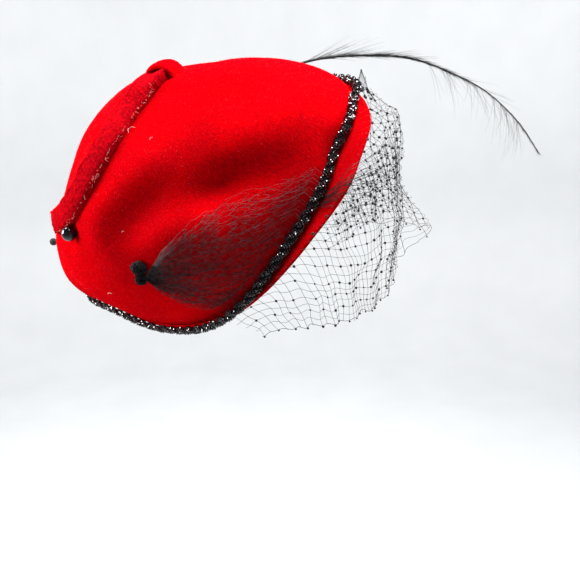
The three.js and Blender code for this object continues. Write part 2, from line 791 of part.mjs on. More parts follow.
function add(name, geometry, color, roughness, metalness = 0) {
  const material = new THREE.MeshStandardMaterial({ color, roughness, metalness });
  const mesh = new THREE.Mesh(geometry, material);
  mesh.name = name;
  hat.add(mesh);
}

const SKIN_UNDER = 7; // how deep a cut over the felt reaches
const overFelt = domeWall(GAP, SKIN_UNDER, GAP);

add('felt_shell', feltShell(), FELT_RED, 0.95);
add('bead_rope', cut(beadRope(), overFelt), BLACK, 0.15);
add('crown_strap', cut(strap(0), overFelt, pinHole()), FELT_RED, 0.95);
add('strap_keeper', cut(keeper(), overFelt, strap(GAP + 0.1)), FELT_RED, 0.95);
add('hatpin', hatpin(), BLACK, 0.1);
for (const [side, mirror] of [['right', 1], ['left', -1]]) {
  add(`veil_knot_${side}`, cut(knot(mirror), overFelt), BLACK, 0.9);
  add(`veil_fan_${side}`, cut(fan(mirror), overFelt, knot(mirror, GAP)), BLACK, 0.9);
}
add('veil', cut(veil(), overFelt), BLACK, 0.9);
add('feather_quill', quill(), BLACK, 0.6);
add('feather_vane', vane(), BLACK, 0.8);

export default hat;
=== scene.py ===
"""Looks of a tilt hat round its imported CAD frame: felt, beads, hatpin, net and feather.

The hat's sizes are millimetres until its meshes are made. The hat has axes of its own: "along" runs
from its back to its front in the plane of the opening, "across" to the wearer's right, and "rise"
out of the opening to the crown. A place on the felt is a turn round the hat (0 at the front, 90 at
the wearer's right) and a rise from 0 at the bead rope to 1 at the top.
"""

import math

import bpy
import numpy as np
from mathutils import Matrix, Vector


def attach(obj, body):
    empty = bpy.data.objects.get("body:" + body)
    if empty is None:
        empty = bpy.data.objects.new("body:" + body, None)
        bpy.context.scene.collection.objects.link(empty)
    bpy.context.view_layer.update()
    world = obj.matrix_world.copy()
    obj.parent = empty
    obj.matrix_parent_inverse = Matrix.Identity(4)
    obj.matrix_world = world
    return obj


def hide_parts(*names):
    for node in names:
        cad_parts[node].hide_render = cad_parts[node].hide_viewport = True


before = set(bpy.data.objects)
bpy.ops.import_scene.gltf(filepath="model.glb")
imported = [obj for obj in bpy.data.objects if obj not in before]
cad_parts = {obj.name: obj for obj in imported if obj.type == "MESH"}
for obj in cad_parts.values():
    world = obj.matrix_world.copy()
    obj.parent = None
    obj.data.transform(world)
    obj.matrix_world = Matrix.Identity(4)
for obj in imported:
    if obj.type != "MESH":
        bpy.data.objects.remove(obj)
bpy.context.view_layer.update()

MM = 0.001


def table(names, *rows):
    """A table's rows, each a dictionary by the names of the columns."""
    return [dict(zip(names.split(), row)) for row in rows]


# ---------------- camera
CAMERA_AT = (-0.46209, 0.02235, 0.02838)
CAMERA_LOOKS = (0.96504, -0.17016, -0.19937)
CAMERA_LENS = 40.97
CAMERA_SENSOR = 36

camera = bpy.data.objects.new("camera", bpy.data.cameras.new("camera"))
camera.data.lens = CAMERA_LENS
camera.data.sensor_width = CAMERA_SENSOR
camera.data.clip_start = 0.01
camera.location = CAMERA_AT
camera.rotation_euler = Vector(CAMERA_LOOKS).to_track_quat("-Z", "Y").to_euler()
bpy.context.scene.collection.objects.link(camera)
bpy.context.scene.camera = camera

# ---------------- sizes, as in the CAD part
PITCH = math.radians(44)
ROLL = math.radians(34)
HALF_LENGTH = 122  # of the join of crown and brim
HALF_WIDTH = 86
CROWN_HEIGHT = 84.5
CROWN_TOP_ALONG = 3
FELT = 2.2  # thickness
BRIM_SLOPE = math.radians(-10)
BRIM_LIP = 1.2  # how far the brim's edge curls up
BRIM_NARROW = 8  # a brim narrower than this curls up less
ROPE_RADIUS = 3.4
PIN_BALL = 4.5  # radii
PIN_SHAFT = 0.7
PIN_TAIL = 2.7

# The crown's upright sections at turns round its right half, the brim's width and the left brim's,
# and how much lower the left side lies.
SECTIONS = table(
    "turn out lift roundness fullness bulge brim left_brim left_drop",
    (0, -2, -4.4, 2.15, 1.32, 6, 4, 4, 0),
    (30, -2.6, -3.2, 1.92, 1.42, 5, 19, 2, 8),
    (60, 0.2, -10, 1.9, 1.88, 5, 13, 6, 5),
    (90, 5.6, -19, 2.28, 2.55, 8, 4, 7, 1),
    (120, -7.6, -19.4, 2.41, 2.65, 12, 1.2, 1.2, 0),
    (150, -15, -5.2, 2.05, 1.91, 13.5, 1.2, 1.2, 0),
    (180, -5.3, 4, 1.8, 1.4, 14, 1.2, 1.2, 0),
)
SECTION_STEP = SECTIONS[1]["turn"]
# Hollows (depth over 0) and swellings of the crown, with their two radii and their lean in degrees.
DENTS = table(
    "turn rise depth long short lean",
    (61, 0.34, 7.8, 36, 15, 16),
    (88, 0.495, 8, 31, 14, -10),
    (67, 0.40, 4.6, 17, 8.5, 12),
    (30, 0.33, -3, 36, 13, 4),
    (22, 0.55, 2.5, 20, 11, 0),
    (108, 0.5, -2.5, 12, 22, 0),
    (318, 0.63, 4, 14, 20, 0),
    (33, 0.05, 3, 14, 12, 0),
    (152, 0.5, -2.6, 26, 16, 0),
)
DENT_REACH = 30  # how deep under the surface a dent still moves it

# The strap's middle on the plan of the hat, from the keeper's end to its free end.
STRAP_PATH = table(
    "along across",
    (45, -27),
    (39, -11),
    (30, 2),
    (18, 12),
    (4, 25.5),
    (-11, 35),
    (-27, 41.5),
    (-43, 41),
    (-57, 34),
    (-67, 25),
)
STRAP_SECTION = table(
    "side up",
    (-6.7, -3),
    (-7.0, 5.2),
    (-6.5, 6.8),
    (-5.6, 6.9),
    (-0.5, 5.6),
    (3.8, 4.0),
    (5.4, 2.2),
    (5.5, -3),
)

# The veil's lines from its right end to its left: the turn where each leaves the rope, where it
# bends down outside the brim, a point halfway and its free edge.
VEIL = table(
    "top knee mid low",
    (92, (-75, -13, -71), (-80, -20, -73), (-84, -28, -75)),
    (72, (-89, -44, -41), (-88, -53, -58), (-82, -60, -74)),
    (50, (-94, -71, -3), (-86, -85, -37), (-66, -94, -74)),
    (28, (-82, -98, 34), (-66, -114, -7), (-41, -121, -65)),
    (8, (-46, -121, 55), (-34, -131, 14), (-22, -134, -44)),
    (-14, (-4, -126, 57), (-4, -136, 17), (9, -168, -26)),
    (-38, (42, -106, 60), (50, -122, 16), (56, -142, -24)),
    (-64, (78, -66, 50), (92, -80, 6), (92, -88, -36)),
    (-90, (99, -18, 30), (108, -26, -6), (104, -32, -46)),
)
# The net's fan on the crown from its knot to the rope: the turns of its upper and lower edges, and
# their heights over the join of crown and brim.
FAN = table(
    "upper upper_height lower lower_height",
    (98, 59, 101.5, 50),
    (88, 60.5, 100, 42),
    (78, 56, 99.2, 32),
    (67, 44, 97.8, 22),
    (55, 29, 96, 13),
    (42, 10, 92.5, 9),
)
KNOT_SPOT = {"turn": 99.1, "rise": 0.303}
# The knot's lumps, as measured from its spot on the crown.
KNOT = table(
    "down ahead height radius",
    (-0.2, 0, 2.7, 3.9),
    (1.6, 1.9, 2.0, 2.7),
    (4.3, -3.2, 1.7, 2.6),
    (7.4, -6.0, 1.6, 2.6),
    (9.4, -5.0, 1, 1.9),
)
# The feather's shaft, from the crown forward.
FEATHER = [
    (6.3, -59.5, 86.6),
    (9.5, -70, 91.6),
    (13, -90, 96.2),
    (15, -118, 98.4),
    (16, -152, 97),
    (15, -187.8, 85.5),
    (14, -211, 74),
    (12, -236.2, 52.5),
    (10, -254.2, 29),
]


# ---------------- vectors and curves
CURVE_STEPS = 16  # from knot to knot


def unit(vectors):
    return vectors / np.maximum(np.linalg.norm(vectors, axis=-1, keepdims=True), 1e-12)


def turned(angle, axis):
    """The matrix that turns by an angle about the x or the y axis."""
    cos, sin = math.cos(angle), math.sin(angle)
    if axis == "x":
        return np.array([[1, 0, 0], [0, cos, -sin], [0, sin, cos]])
    return np.array([[cos, 0, sin], [0, 1, 0], [-sin, 0, cos]])


TO_HEAD = turned(-ROLL, "y") @ turned(-PITCH, "x")


def place(along, across, rise):
    """A point of the hat's own axes, in the frame of the part."""
    along, across, rise = np.broadcast_arrays(along, across, rise)
    return np.stack([-across, -along, rise], -1) @ TO_HEAD.T


RISE = place(0.0, 0.0, 1.0)


def cubic(a, b, c, d, t):
    """The cubic through four equally spaced values, between the middle two."""
    bend = 2 * a - 5 * b + 4 * c - d
    twist = 3 * b - a - 3 * c + d
    return b + 0.5 * t * (c - a + t * (bend + t * twist))


def column(rows, name):
    """One column of a table."""
    return np.array([row[name] for row in rows], float)


def along_table(values, share):
    """A column at share 0..1 of its length, smooth through its rows."""
    values = np.asarray(values, float)
    last = len(values) - 1
    spot = np.clip(share, 0, 1) * last
    row = np.minimum(np.floor(spot).astype(int), last - 1)
    t = spot - row
    if values.ndim > 1:
        t = t[..., None]
    return cubic(*(values[np.clip(row + k, 0, last)] for k in (-1, 0, 1, 2)), t)


def knot_gap(a, b):
    return np.maximum(np.linalg.norm(b - a, axis=-1, keepdims=True), 1e-6) ** 0.5


def smooth_curve(knots, count):
    """count points evenly spaced on the centripetal curve through each row of knots."""
    knots = np.asarray(knots, float)
    first = 2 * knots[..., :1, :] - knots[..., 1:2, :]
    last = 2 * knots[..., -1:, :] - knots[..., -2:-1, :]
    knots = np.concatenate([first, knots, last], -2)
    t = np.arange(CURVE_STEPS)[:, None] / CURVE_STEPS
    pieces = []
    for k in range(knots.shape[-2] - 3):
        a, b, c, d = (knots[..., k + i, :][..., None, :] for i in range(4))
        before, here, after = knot_gap(a, b), knot_gap(b, c), knot_gap(c, d)
        start = ((b - a) / before - (c - a) / (before + here) + (c - b) / here) * here
        end = ((c - b) / here - (d - b) / (here + after) + (d - c) / after) * here
        pieces.append(
            b * (2 * t**3 - 3 * t**2 + 1) + c * (3 * t**2 - 2 * t**3)
            + start * (t**3 - 2 * t**2 + t) + end * (t**3 - t**2)
        )
    return evenly(np.concatenate([*pieces, knots[..., -2:-1, :]], -2), count)


def distances(points):
    """How far along a line each of its points is."""
    return np.concatenate([[0], np.cumsum(np.linalg.norm(np.diff(points, axis=0), axis=1))])


def evenly(line, count):
    """Each line again with count points at equal distances."""
    flat = line.reshape(-1, *line.shape[-2:])
    out = np.empty((len(flat), count, 3))
    for i, points in enumerate(flat):
        run = distances(points)
        wanted = np.linspace(0, run[-1], count)
        out[i] = np.stack([np.interp(wanted, run, points[:, k]) for k in range(3)], -1)
    return out.reshape(*line.shape[:-2], count, 3)


def closed(ring):
    """A ring of points with its first one again at its end."""
    return np.concatenate([ring, ring[:1]])


def even_ring(ring, count):
    """A ring again with count points at equal distances."""
    return evenly(closed(ring)[None], count + 1)[0][:-1]


def all_round(count, whole=2 * math.pi):
    """Evenly spaced angles of a whole turn."""
    return np.arange(count) * whole / count


def swung(side, up, angle):
    """Directions at angles from a side way towards an up way."""
    return side * np.cos(angle)[..., None] + up * np.sin(angle)[..., None]


def halved(low, high, steps, goes_on):
    """The place between low and high up to which goes_on(place) is true."""
    for _ in range(steps):
        middle = (low + high) / 2
        further = goes_on(middle)
        low, high = np.where(further, middle, low), np.where(further, high, middle)
    return low


def waves(points, size, seed, count=14):
    """Smooth noise of about -1 to 1, whose bumps are a size across."""
    rng = np.random.default_rng(seed)
    ways = unit(rng.normal(size=(count, 3))) * rng.uniform(0.6, 1.5, (count, 1)) * math.pi / size
    phases = rng.uniform(0, 2 * math.pi, count)
    return np.sin(points @ ways.T + phases).sum(-1) / math.sqrt(count / 2) * 0.7


# ---------------- the felt's surface
ROWS = 2 * (len(SECTIONS) - 1)
STEEP_BELOW = 0.35  # the rise under which a place of the plan isn't looked for
TOPMOST = 0.985  # the highest rise at which the crown has a turn


def ring_column(name):
    """A column round the whole hat, from the front by the right, the back and the left."""
    values = []
    for k in range(ROWS):
        row, left = SECTIONS[min(k, ROWS - k)], k > ROWS // 2
        value = row["left_brim" if left and name == "brim" else name]
        values.append(value - (row["left_drop"] if left and name == "lift" else 0))
    return np.array(values, float)


RING = {name: ring_column(name) for name in ("out", "lift", "roundness", "fullness", "bulge", "brim")}


def around(name, turn):
    """A column's value at a turn, smooth through its rows."""
    spot = np.asarray(turn, float) / SECTION_STEP
    row = np.floor(spot).astype(int)
    return cubic(*(RING[name][(row + k) % ROWS] for k in (-1, 0, 1, 2)), spot - row)


def join(turn):
    """The join of crown and brim, as along, across and rise."""
    angle, out = np.radians(turn), around("out", turn)
    return (HALF_LENGTH + out) * np.cos(angle), (HALF_WIDTH + out) * np.sin(angle), around("lift", turn)


def smooth_crown(turn, rise):
    """A point of the crown without its dents."""
    foot, side, base = join(turn)
    angle = np.asarray(rise) * math.pi / 2
    reach = np.clip(np.cos(angle), 0, 1)
    height = (1 - reach ** around("roundness", turn)) ** (1 / around("fullness", turn))
    span = np.hypot(foot - CROWN_TOP_ALONG, side)
    swell = reach * (1 + around("bulge", turn) / span * np.sin(2 * angle))
    ahead = CROWN_TOP_ALONG + (foot - CROWN_TOP_ALONG) * swell
    return place(ahead, side * swell, base + (CROWN_HEIGHT - base) * height)


def normal_of(surface, turn, rise):
    """The way out of a surface."""
    level = surface(turn + 1, rise) - surface(turn - 1, rise)
    uphill = surface(turn, rise + 0.01) - surface(turn, rise - 0.01)
    return unit(np.cross(uphill, level))


def turned_about(vector, axis, angle):
    """A vector turned about any axis."""
    cos, sin = math.cos(angle), math.sin(angle)
    return vector * cos + np.cross(axis, vector) * sin + axis * (axis @ vector) * (1 - cos)


def dent_axes(dent):
    """A dent's middle and the ways out of it, along it and across it."""
    centre = smooth_crown(dent["turn"], dent["rise"])
    normal = normal_of(smooth_crown, dent["turn"], dent["rise"])
    level = smooth_crown(dent["turn"] + 1, dent["rise"]) - centre
    level = unit(level - normal * (level @ normal))
    level = turned_about(level, normal, math.radians(-dent["lean"]))
    return centre, normal, level, np.cross(level, normal)


DENT_AXES = [dent_axes(dent) for dent in DENTS]


def crown(turn, rise):
    """A point of the crown with its dents."""
    point = smooth_crown(turn, rise)
    moved = point.copy()
    for dent, (centre, normal, level, steep) in zip(DENTS, DENT_AXES):
        away = point - centre
        share = (
            (away @ level / dent["long"]) ** 2
            + (away @ steep / dent["short"]) ** 2
            + (away @ normal / DENT_REACH) ** 2
        )
        moved = moved - normal * (dent["depth"] * np.exp(-share))[..., None]
    return moved


def outward(turn):
    """Outward across the brim, in the plane of the opening."""
    a, b = join(turn - 1), join(turn + 1)
    return unit(place(b[1] - a[1], a[0] - b[0], 0.0))


def brim(turn, distance):
    """The brim's upper face at a distance from the join."""
    share = distance / np.maximum(around("brim", turn), BRIM_NARROW)
    lift = distance * math.sin(BRIM_SLOPE) + BRIM_LIP * np.minimum(share, 1.2) ** 3
    flat = np.asarray(distance * math.cos(BRIM_SLOPE))
    return crown(turn, 0.0 * turn) + outward(turn) * flat[..., None] + RISE * np.asarray(lift)[..., None]


def over(turn, rise, height):
    """A point at a height over the crown."""
    return crown(turn, rise) + normal_of(crown, turn, rise) * np.asarray(height)[..., None]


def find_on_crown(ahead, across):
    """The turn and rise of the crown's points at places of the hat's plan."""
    heading = np.arctan2(across, ahead - CROWN_TOP_ALONG)
    turn = np.degrees(heading)
    for _ in range(20):
        foot, side, _base = join(turn)
        miss = heading - np.arctan2(side, foot - CROWN_TOP_ALONG)
        turn = turn + np.degrees(np.arctan2(np.sin(miss), np.cos(miss)))
    foot, side, _base = join(turn)
    span = np.hypot(foot - CROWN_TOP_ALONG, side)
    wanted = np.hypot(across, ahead - CROWN_TOP_ALONG) / span

    def too_low(rise):
        angle = rise * math.pi / 2
        return np.cos(angle) * (1 + around("bulge", turn) / span * np.sin(2 * angle)) > wanted

    rise = halved(np.full_like(turn, STEEP_BELOW), np.ones_like(turn), 30, too_low)
    return turn, np.minimum(rise, TOPMOST)


def rise_at(turn, height):
    """The rise of the crown's points at heights over the join."""
    foot = crown(turn, 0.0 * turn)
    return halved(
        np.zeros_like(turn), np.full_like(turn, 0.7), 24,
        lambda rise: (crown(turn, rise) - foot) @ RISE < height,
    )


# ---------------- meshes
def grid_faces(rows, columns, ring=False):
    """Quads of a grid of points, whose rows close on themselves if ring is set."""
    i, j = np.meshgrid(np.arange(rows - 1), np.arange(columns if ring else columns - 1), indexing="ij")
    after = (j + 1) % columns
    quads = [i * columns + j, i * columns + after, (i + 1) * columns + after, (i + 1) * columns + j]
    return np.stack(quads, -1).reshape(-1, 4)


def tubes(paths, radii, sides=3, tips=False):
    """Thin tubes along paths of equally many points. With tips, their ends draw in to a point."""
    paths = np.asarray(paths, float)
    many, count = paths.shape[:2]
    radii = np.broadcast_to(radii, (many, count)).copy()
    if tips:
        radii[:, 0] = radii[:, -1] = radii[:, 0] * 0.02
    way = unit(np.gradient(paths, axis=1))
    general = unit(paths[:, -1] - paths[:, 0] + 1e-6)
    least = np.eye(3)[np.abs(general).argmin(-1)]
    side = unit(np.cross(way, least[:, None, :]))
    up = np.cross(way, side)
    ring = swung(side[:, :, None], up[:, :, None], all_round(sides))
    points = paths[:, :, None] + ring * radii[:, :, None, None]
    one = grid_faces(count, sides, ring=True)
    faces = (one[None] + (np.arange(many) * count * sides)[:, None, None]).reshape(-1, 4)
    return points.reshape(-1, 3), faces


def capped(rings, first, last):
    """A closed body through rings of points, with a middle point at each end."""
    count, sides = rings.shape[:2]
    points = np.concatenate([rings.reshape(-1, 3), [first], [last]])
    j = np.arange(sides)
    after, end = (j + 1) % sides, (count - 1) * sides
    first_cap = np.stack([after, j, np.full(sides, count * sides)], -1)
    last_cap = np.stack([end + j, end + after, np.full(sides, count * sides + 1)], -1)
    return points, [grid_faces(count, sides, ring=True), first_cap, last_cap]


def lofted(rings):
    """A closed body through rings of points, capped at their middles."""
    return capped(rings, rings[0].mean(0), rings[-1].mean(0))


def lathe(profile, sides):
    """A body of revolution about z, whose profile of radii and heights starts and ends on the axis."""
    turns = all_round(sides)
    rings = [[(r * math.cos(a), r * math.sin(a), z) for a in turns] for r, z in profile[1:-1]]
    return capped(np.array(rings), (0, 0, profile[0][1]), (0, 0, profile[-1][1]))


def ball(rows, sides):
    """A ball of radius 1."""
    return lathe([(math.sin(a), math.cos(a)) for a in np.linspace(0, math.pi, rows)], sides)


def slivers(roots, ways, lengths, widths, rng, seed):
    """Fibres, each one thin triangle from its root along its way, of lengths and widths between two."""
    lengths, widths = (rng.uniform(*ends, len(roots))[:, None] for ends in (lengths, widths))
    across = unit(np.cross(ways, np.random.default_rng(seed).normal(size=ways.shape)))
    half = across * widths / 2
    points = np.stack([roots - half, roots + half, roots + ways * lengths], 1).reshape(-1, 3)
    return points, np.arange(len(points)).reshape(-1, 3)


def copies(shape_points, shape_faces, centres, frames, sizes):
    """A small shape set at each centre, turned by its frame and scaled."""
    points = np.einsum("nij,kj->nki", frames, shape_points) * np.asarray(sizes)[:, None, None]
    points = points + centres[:, None]
    many, count = len(centres), len(shape_points)
    faces = [f[None] + (np.arange(many) * count)[:, None, None] for f in shape_faces]
    return points.reshape(-1, 3), [f.reshape(-1, f.shape[-1]) for f in faces]


def joined(*parts):
    """Several (points, faces) as one. Faces are an array or a list of arrays."""
    points, faces, start = [], [], 0
    for part_points, part_faces in parts:
        points.append(part_points)
        for block in part_faces if isinstance(part_faces, list) else [part_faces]:
            faces.append(block + start)
        start += len(part_points)
    return np.concatenate(points), faces


def piece(name, points, faces, material, slot, stands_for=(), smooth=True, nap=None):
    """A mesh object from points in millimetres, riding on the hat, with its places in the nap."""
    faces = [f for f in (faces if isinstance(faces, list) else [faces]) if len(f)]
    mesh = bpy.data.meshes.new(name)
    corners = np.concatenate([f.reshape(-1) for f in faces]).astype(np.int32)
    sizes = np.concatenate([np.full(len(f), f.shape[1]) for f in faces])
    starts = np.concatenate([[0], np.cumsum(sizes)[:-1]]).astype(np.int32)
    mesh.vertices.add(len(points))
    mesh.vertices.foreach_set("co", (np.asarray(points) * MM).astype(np.float32).ravel())
    mesh.loops.add(len(corners))
    mesh.loops.foreach_set("vertex_index", corners)
    mesh.polygons.add(len(starts))
    mesh.polygons.foreach_set("loop_start", starts)
    mesh.polygons.foreach_set("use_smooth", np.full(len(starts), smooth))
    mesh.update(calc_edges=True)
    mesh.validate()
    if nap is not None:
        layer = mesh.attributes.new("nap", "FLOAT_VECTOR", "POINT")
        layer.data.foreach_set("vector", np.asarray(nap, np.float32).ravel())
    mesh.materials.append(material)
    made = bpy.data.objects.new(name, mesh)
    bpy.context.scene.collection.objects.link(made)
    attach(made, "root")
    if stands_for:
        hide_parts(*stands_for)
    return made


# ---------------- materials
class Nodes:
    """A material's node tree, made by short calls."""

    def __init__(self, name):
        self.material = bpy.data.materials.new(name)
        self.material.use_nodes = True
        self.tree = self.material.node_tree
        self.shader = self.tree.nodes["Principled BSDF"]

    def node(self, kind, **settings):
        made = self.tree.nodes.new("ShaderNode" + kind)
        for key, value in settings.items():
            setattr(made, key, value)
        return made

    def link(self, source, target):
        self.tree.links.new(source, target)

    def give(self, socket, value):
        """Links or sets a socket. A colour may be given without its alpha."""
        if isinstance(value, bpy.types.NodeSocket):
            self.link(value, socket)
        else:
            socket.default_value = (*value, 1) if socket.type == "RGBA" else value

    def put(self, node, **inputs):
        """Links or sets a node's inputs by name, with _ for a space."""
        for key, value in inputs.items():
            self.give(node.inputs[key.replace("_", " ")], value)
        return node

    def where(self):
        """Object coordinates in metres."""
        return self.node("TexCoord").outputs["Object"]

    def noise(self, where, scale, detail=2.0, roughness=0.5):
        made = self.put(self.node("TexNoise"), Vector=where, Scale=scale, Detail=detail, Roughness=roughness)
        return made.outputs["Fac"]

    def between(self, value, low, high, to_low=0.0, to_high=1.0):
        """A value's way from low to high, clamped, as a number from to_low to to_high."""
        made = self.node("MapRange")
        self.put(made, Value=value, From_Min=low, From_Max=high, To_Min=to_low, To_Max=to_high)
        return made.outputs["Result"]

    def mix(self, share, a, b):
        """Colour a where the share is 0 and b where it is 1."""
        made = self.node("Mix", data_type="RGBA")
        for socket, value in zip((made.inputs["Factor"], made.inputs[6], made.inputs[7]), (share, a, b)):
            self.give(socket, value)
        return made.outputs[2]

    def math(self, operation, a, b):
        made = self.node("Math", operation=operation)
        for socket, value in zip(made.inputs, (a, b)):
            self.give(socket, value)
        return made.outputs[0]

    def bump(self, height, strength, distance):
        made = self.put(self.node("Bump"), Height=height, Strength=strength, Distance=distance)
        return made.outputs["Normal"]


def felt_material(name, grain=1.0, deep=(0.36, 0.0004, 0.0035), bright=(0.66, 0.0004, 0.0022)):
    """Red felt with a short brushed nap, whose grain is scaled."""
    m = Nodes(name)
    where = m.where()
    brushed = m.node("Attribute", attribute_name="nap").outputs["Vector"]
    cloud = m.noise(where, 26, 3)
    fibre = m.noise(brushed, 900 / grain, 4, 0.65)
    fleck = m.noise(where, 1500 / grain, 2, 0.6)
    tone = m.math("ADD", m.math("MULTIPLY", cloud, 0.35), m.math("MULTIPLY", fibre, 0.65))
    base = m.mix(m.between(tone, 0.36, 0.62), deep, bright)
    height = m.math("ADD", fibre, m.math("MULTIPLY", fleck, 0.6))
    m.put(
        m.shader,
        Base_Color=m.mix(m.between(fleck, 0.60, 0.74, 0.0, 0.7), base, (1.0, 0.002, 0.006)),
        Roughness=0.95,
        Specular_IOR_Level=0.0,
        Normal=m.bump(height, 0.55, 0.0005 * grain),
    )
    return m.material


def bead_material():
    """Black faceted glass."""
    m = Nodes("bead_glass")
    shade = m.mix(m.noise(m.where(), 700, 1), (0.003, 0.003, 0.004), (0.010, 0.010, 0.012))
    m.put(m.shader, Base_Color=shade, Roughness=0.1, IOR=1.6, Specular_IOR_Level=1.0)
    return m.material


def pin_material():
    """Black polish with fine scuffs."""
    m = Nodes("pin_polish")
    scuffs = m.noise(m.where(), 900, 4, 0.6)
    m.put(
        m.shader,
        Base_Color=m.mix(scuffs, (0.004, 0.004, 0.005), (0.012, 0.012, 0.014)),
        Roughness=m.between(scuffs, 0.3, 0.7, 0.05, 0.14),
    )
    return m.material


def thread_material(name, dark, light, roughness):
    """A thread or fibre with an uneven tone between two colours and a fine twist: dye, and on the fan's
    threads a painted highlight.
    """
    m = Nodes(name)
    where = m.where()
    m.put(
        m.shader,
        Base_Color=m.mix(m.between(m.noise(where, 420, 3), 0.35, 0.65), dark, light),
        Roughness=roughness,
        Specular_IOR_Level=0.3,
        Normal=m.bump(m.noise(where, 2600, 2), 0.4, 0.0001),
    )
    return m.material


FELT_CLOTH = felt_material("felt_cloth")
# The strap's felt and its fibres are made darker than the crown's felt: painted shade on the strap's face.
STRAP_CLOTH_PAINTED_SHADE = felt_material("strap_cloth_painted_shade", 1.5, (0.21, 0.0008, 0.005), (0.58, 0.002, 0.006))
STRAP_HAIR_PAINTED_SHADE = thread_material("strap_fibre_painted_shade", (0.24, 0.001, 0.004), (0.66, 0.004, 0.010), 0.9)
HAIR = thread_material("felt_fibre", (0.50, 0.001, 0.004), (1.0, 0.035, 0.055), 0.9)
CUT_FIBRE = thread_material("cut_fibre", (0.80, 0.14, 0.13), (0.95, 0.50, 0.46), 0.8)
BEADS = bead_material()
PIN = pin_material()
# The fan's threads are lighter than the veil's net thread, with light grey stretches by noise: painted
# highlight standing in for threads lit from above.
FAN_HAIR_PAINTED_GLINT = thread_material("fan_thread", (0.003, 0.003, 0.004), (0.10, 0.09, 0.10), 0.45)
THREAD = thread_material("net_thread", (0.004, 0.004, 0.005), (0.03, 0.028, 0.03), 0.5)
CHENILLE = thread_material("chenille", (0.002, 0.002, 0.003), (0.008, 0.008, 0.009), 0.95)
BARBS = thread_material("feather_barb", (0.003, 0.003, 0.004), (0.014, 0.013, 0.013), 0.6)
LINT = thread_material("lint", (0.7, 0.62, 0.58), (0.9, 0.85, 0.8), 0.9)

# ---------------- felt shell
FELT_TURNS = 320
BRIM_ROWS = 10
CROWN_ROWS = 78
CROWN_SPREAD = 1.35  # rows lie closer together near the rope than near the top
EDGE_ROWS = 4
EDGE_INSET = 0.7  # of the middle of the rounded edge from the brim's full width
RIPPLES = table(
    "size depth seed",
    (9, 0.08, 3),
    (34, 0.22, 4),
)
NAP_DRAWN = 0.35  # the nap's places along z for those across it, so that it looks brushed
HAIRS = 26000
HAIR_LENGTH = (0.5, 1.4)
HAIR_WIDTH = (0.07, 0.15)
PIN_SPOT = {"turn": 127.0, "rise": 0.514, "height": 2.0}
PIN_TIP = np.array([46, 110.3, -34])
PIN_DIMPLE = 3.0  # depth of the dimple under the ball
PIN_DIMPLE_RADIUS = 6.0

pin_ball = over(PIN_SPOT["turn"], PIN_SPOT["rise"], PIN_SPOT["height"])
pin_normal = normal_of(crown, PIN_SPOT["turn"], PIN_SPOT["rise"])


def dimpled(points):
    """Points of the crown drawn in under the pin's ball."""
    away = points - (pin_ball - pin_normal * PIN_SPOT["height"])
    depth = PIN_DIMPLE * np.exp(-((away**2).sum(-1) / PIN_DIMPLE_RADIUS**2) ** 1.3)
    return points - pin_normal * depth[..., None]


def face_rows(turns):
    """The outer face as rows of points, from the brim's edge up."""
    width = np.maximum(around("brim", turns), 1) - EDGE_INSET
    rows = [brim(turns, width * (1 - k / BRIM_ROWS)) for k in range(BRIM_ROWS)]
    for k in range(CROWN_ROWS):
        rise = np.full(FELT_TURNS, (k / CROWN_ROWS) ** CROWN_SPREAD)
        rows.append(dimpled(crown(turns, rise)))
    return np.array(rows)


def row_normals(rows, top):
    """Normals at the points of rings that end in a top point."""
    level = np.roll(rows, -1, 1) - np.roll(rows, 1, 1)
    above = np.concatenate([rows[1:], np.broadcast_to(top, (1, *rows.shape[1:]))])
    below = np.concatenate([rows[:1], rows[:-1]])
    return unit(np.cross(above - below, level))


def felt_shell():
    """The shell with its rounded edge, and the rows and normals of its outer face."""
    turns = all_round(FELT_TURNS, 360.0)
    rows = face_rows(turns)
    top = crown(np.array(0.0), np.array(1.0))
    normals = row_normals(rows, top)
    ripple = sum(waves(rows, wave["size"], wave["seed"]) * wave["depth"] for wave in RIPPLES)
    rows = rows + normals * ripple[..., None]
    middle = rows[0] - normals[0] * FELT / 2
    edge = [
        middle + (normals[0] * math.cos(a) + outward(turns) * math.sin(a)) * FELT / 2
        for a in np.linspace(0, math.pi, EDGE_ROWS + 2)[1:-1]
    ]
    inner = rows - normals * FELT
    all_rows = np.concatenate([inner[::-1], np.array(edge)[::-1], rows])
    points, faces = capped(all_rows, top - RISE * FELT, top)
    return points, [block[:, ::-1] for block in faces], rows, normals


def nap_of(points):
    """Where each point lies for the nap's noise."""
    return points @ TO_HEAD * [1, 1, NAP_DRAWN] * MM


def felt_hair():
    """Short fibres all over the outer face, brushed downhill."""
    rng = np.random.default_rng(11)
    columns = felt_rows.shape[1]
    across = np.roll(felt_rows, -1, 1)[:-1] - felt_rows[:-1]
    uphill = felt_rows[1:] - felt_rows[:-1]
    cell = np.linalg.norm(np.cross(across, uphill), axis=-1).ravel()
    spots = rng.choice(len(cell), HAIRS, p=cell / cell.sum())
    i, j = spots // columns, spots % columns
    u, v = rng.random((2, HAIRS, 1))
    roots = felt_rows[i, j] + across[i, j] * u + uphill[i, j] * v
    ways = unit(felt_normals[i, j] * 0.5 - unit(uphill[i, j]) * 0.8 + rng.normal(0, 0.35, (HAIRS, 3)))
    return slivers(roots, ways, HAIR_LENGTH, HAIR_WIDTH, rng, 12)


felt_points, felt_faces, felt_rows, felt_normals = felt_shell()
piece("felt_body", felt_points, felt_faces, FELT_CLOTH, "felt", ["felt_shell"], nap=nap_of(felt_points))
piece("felt_nap", *felt_hair(), HAIR, "felt", smooth=False)

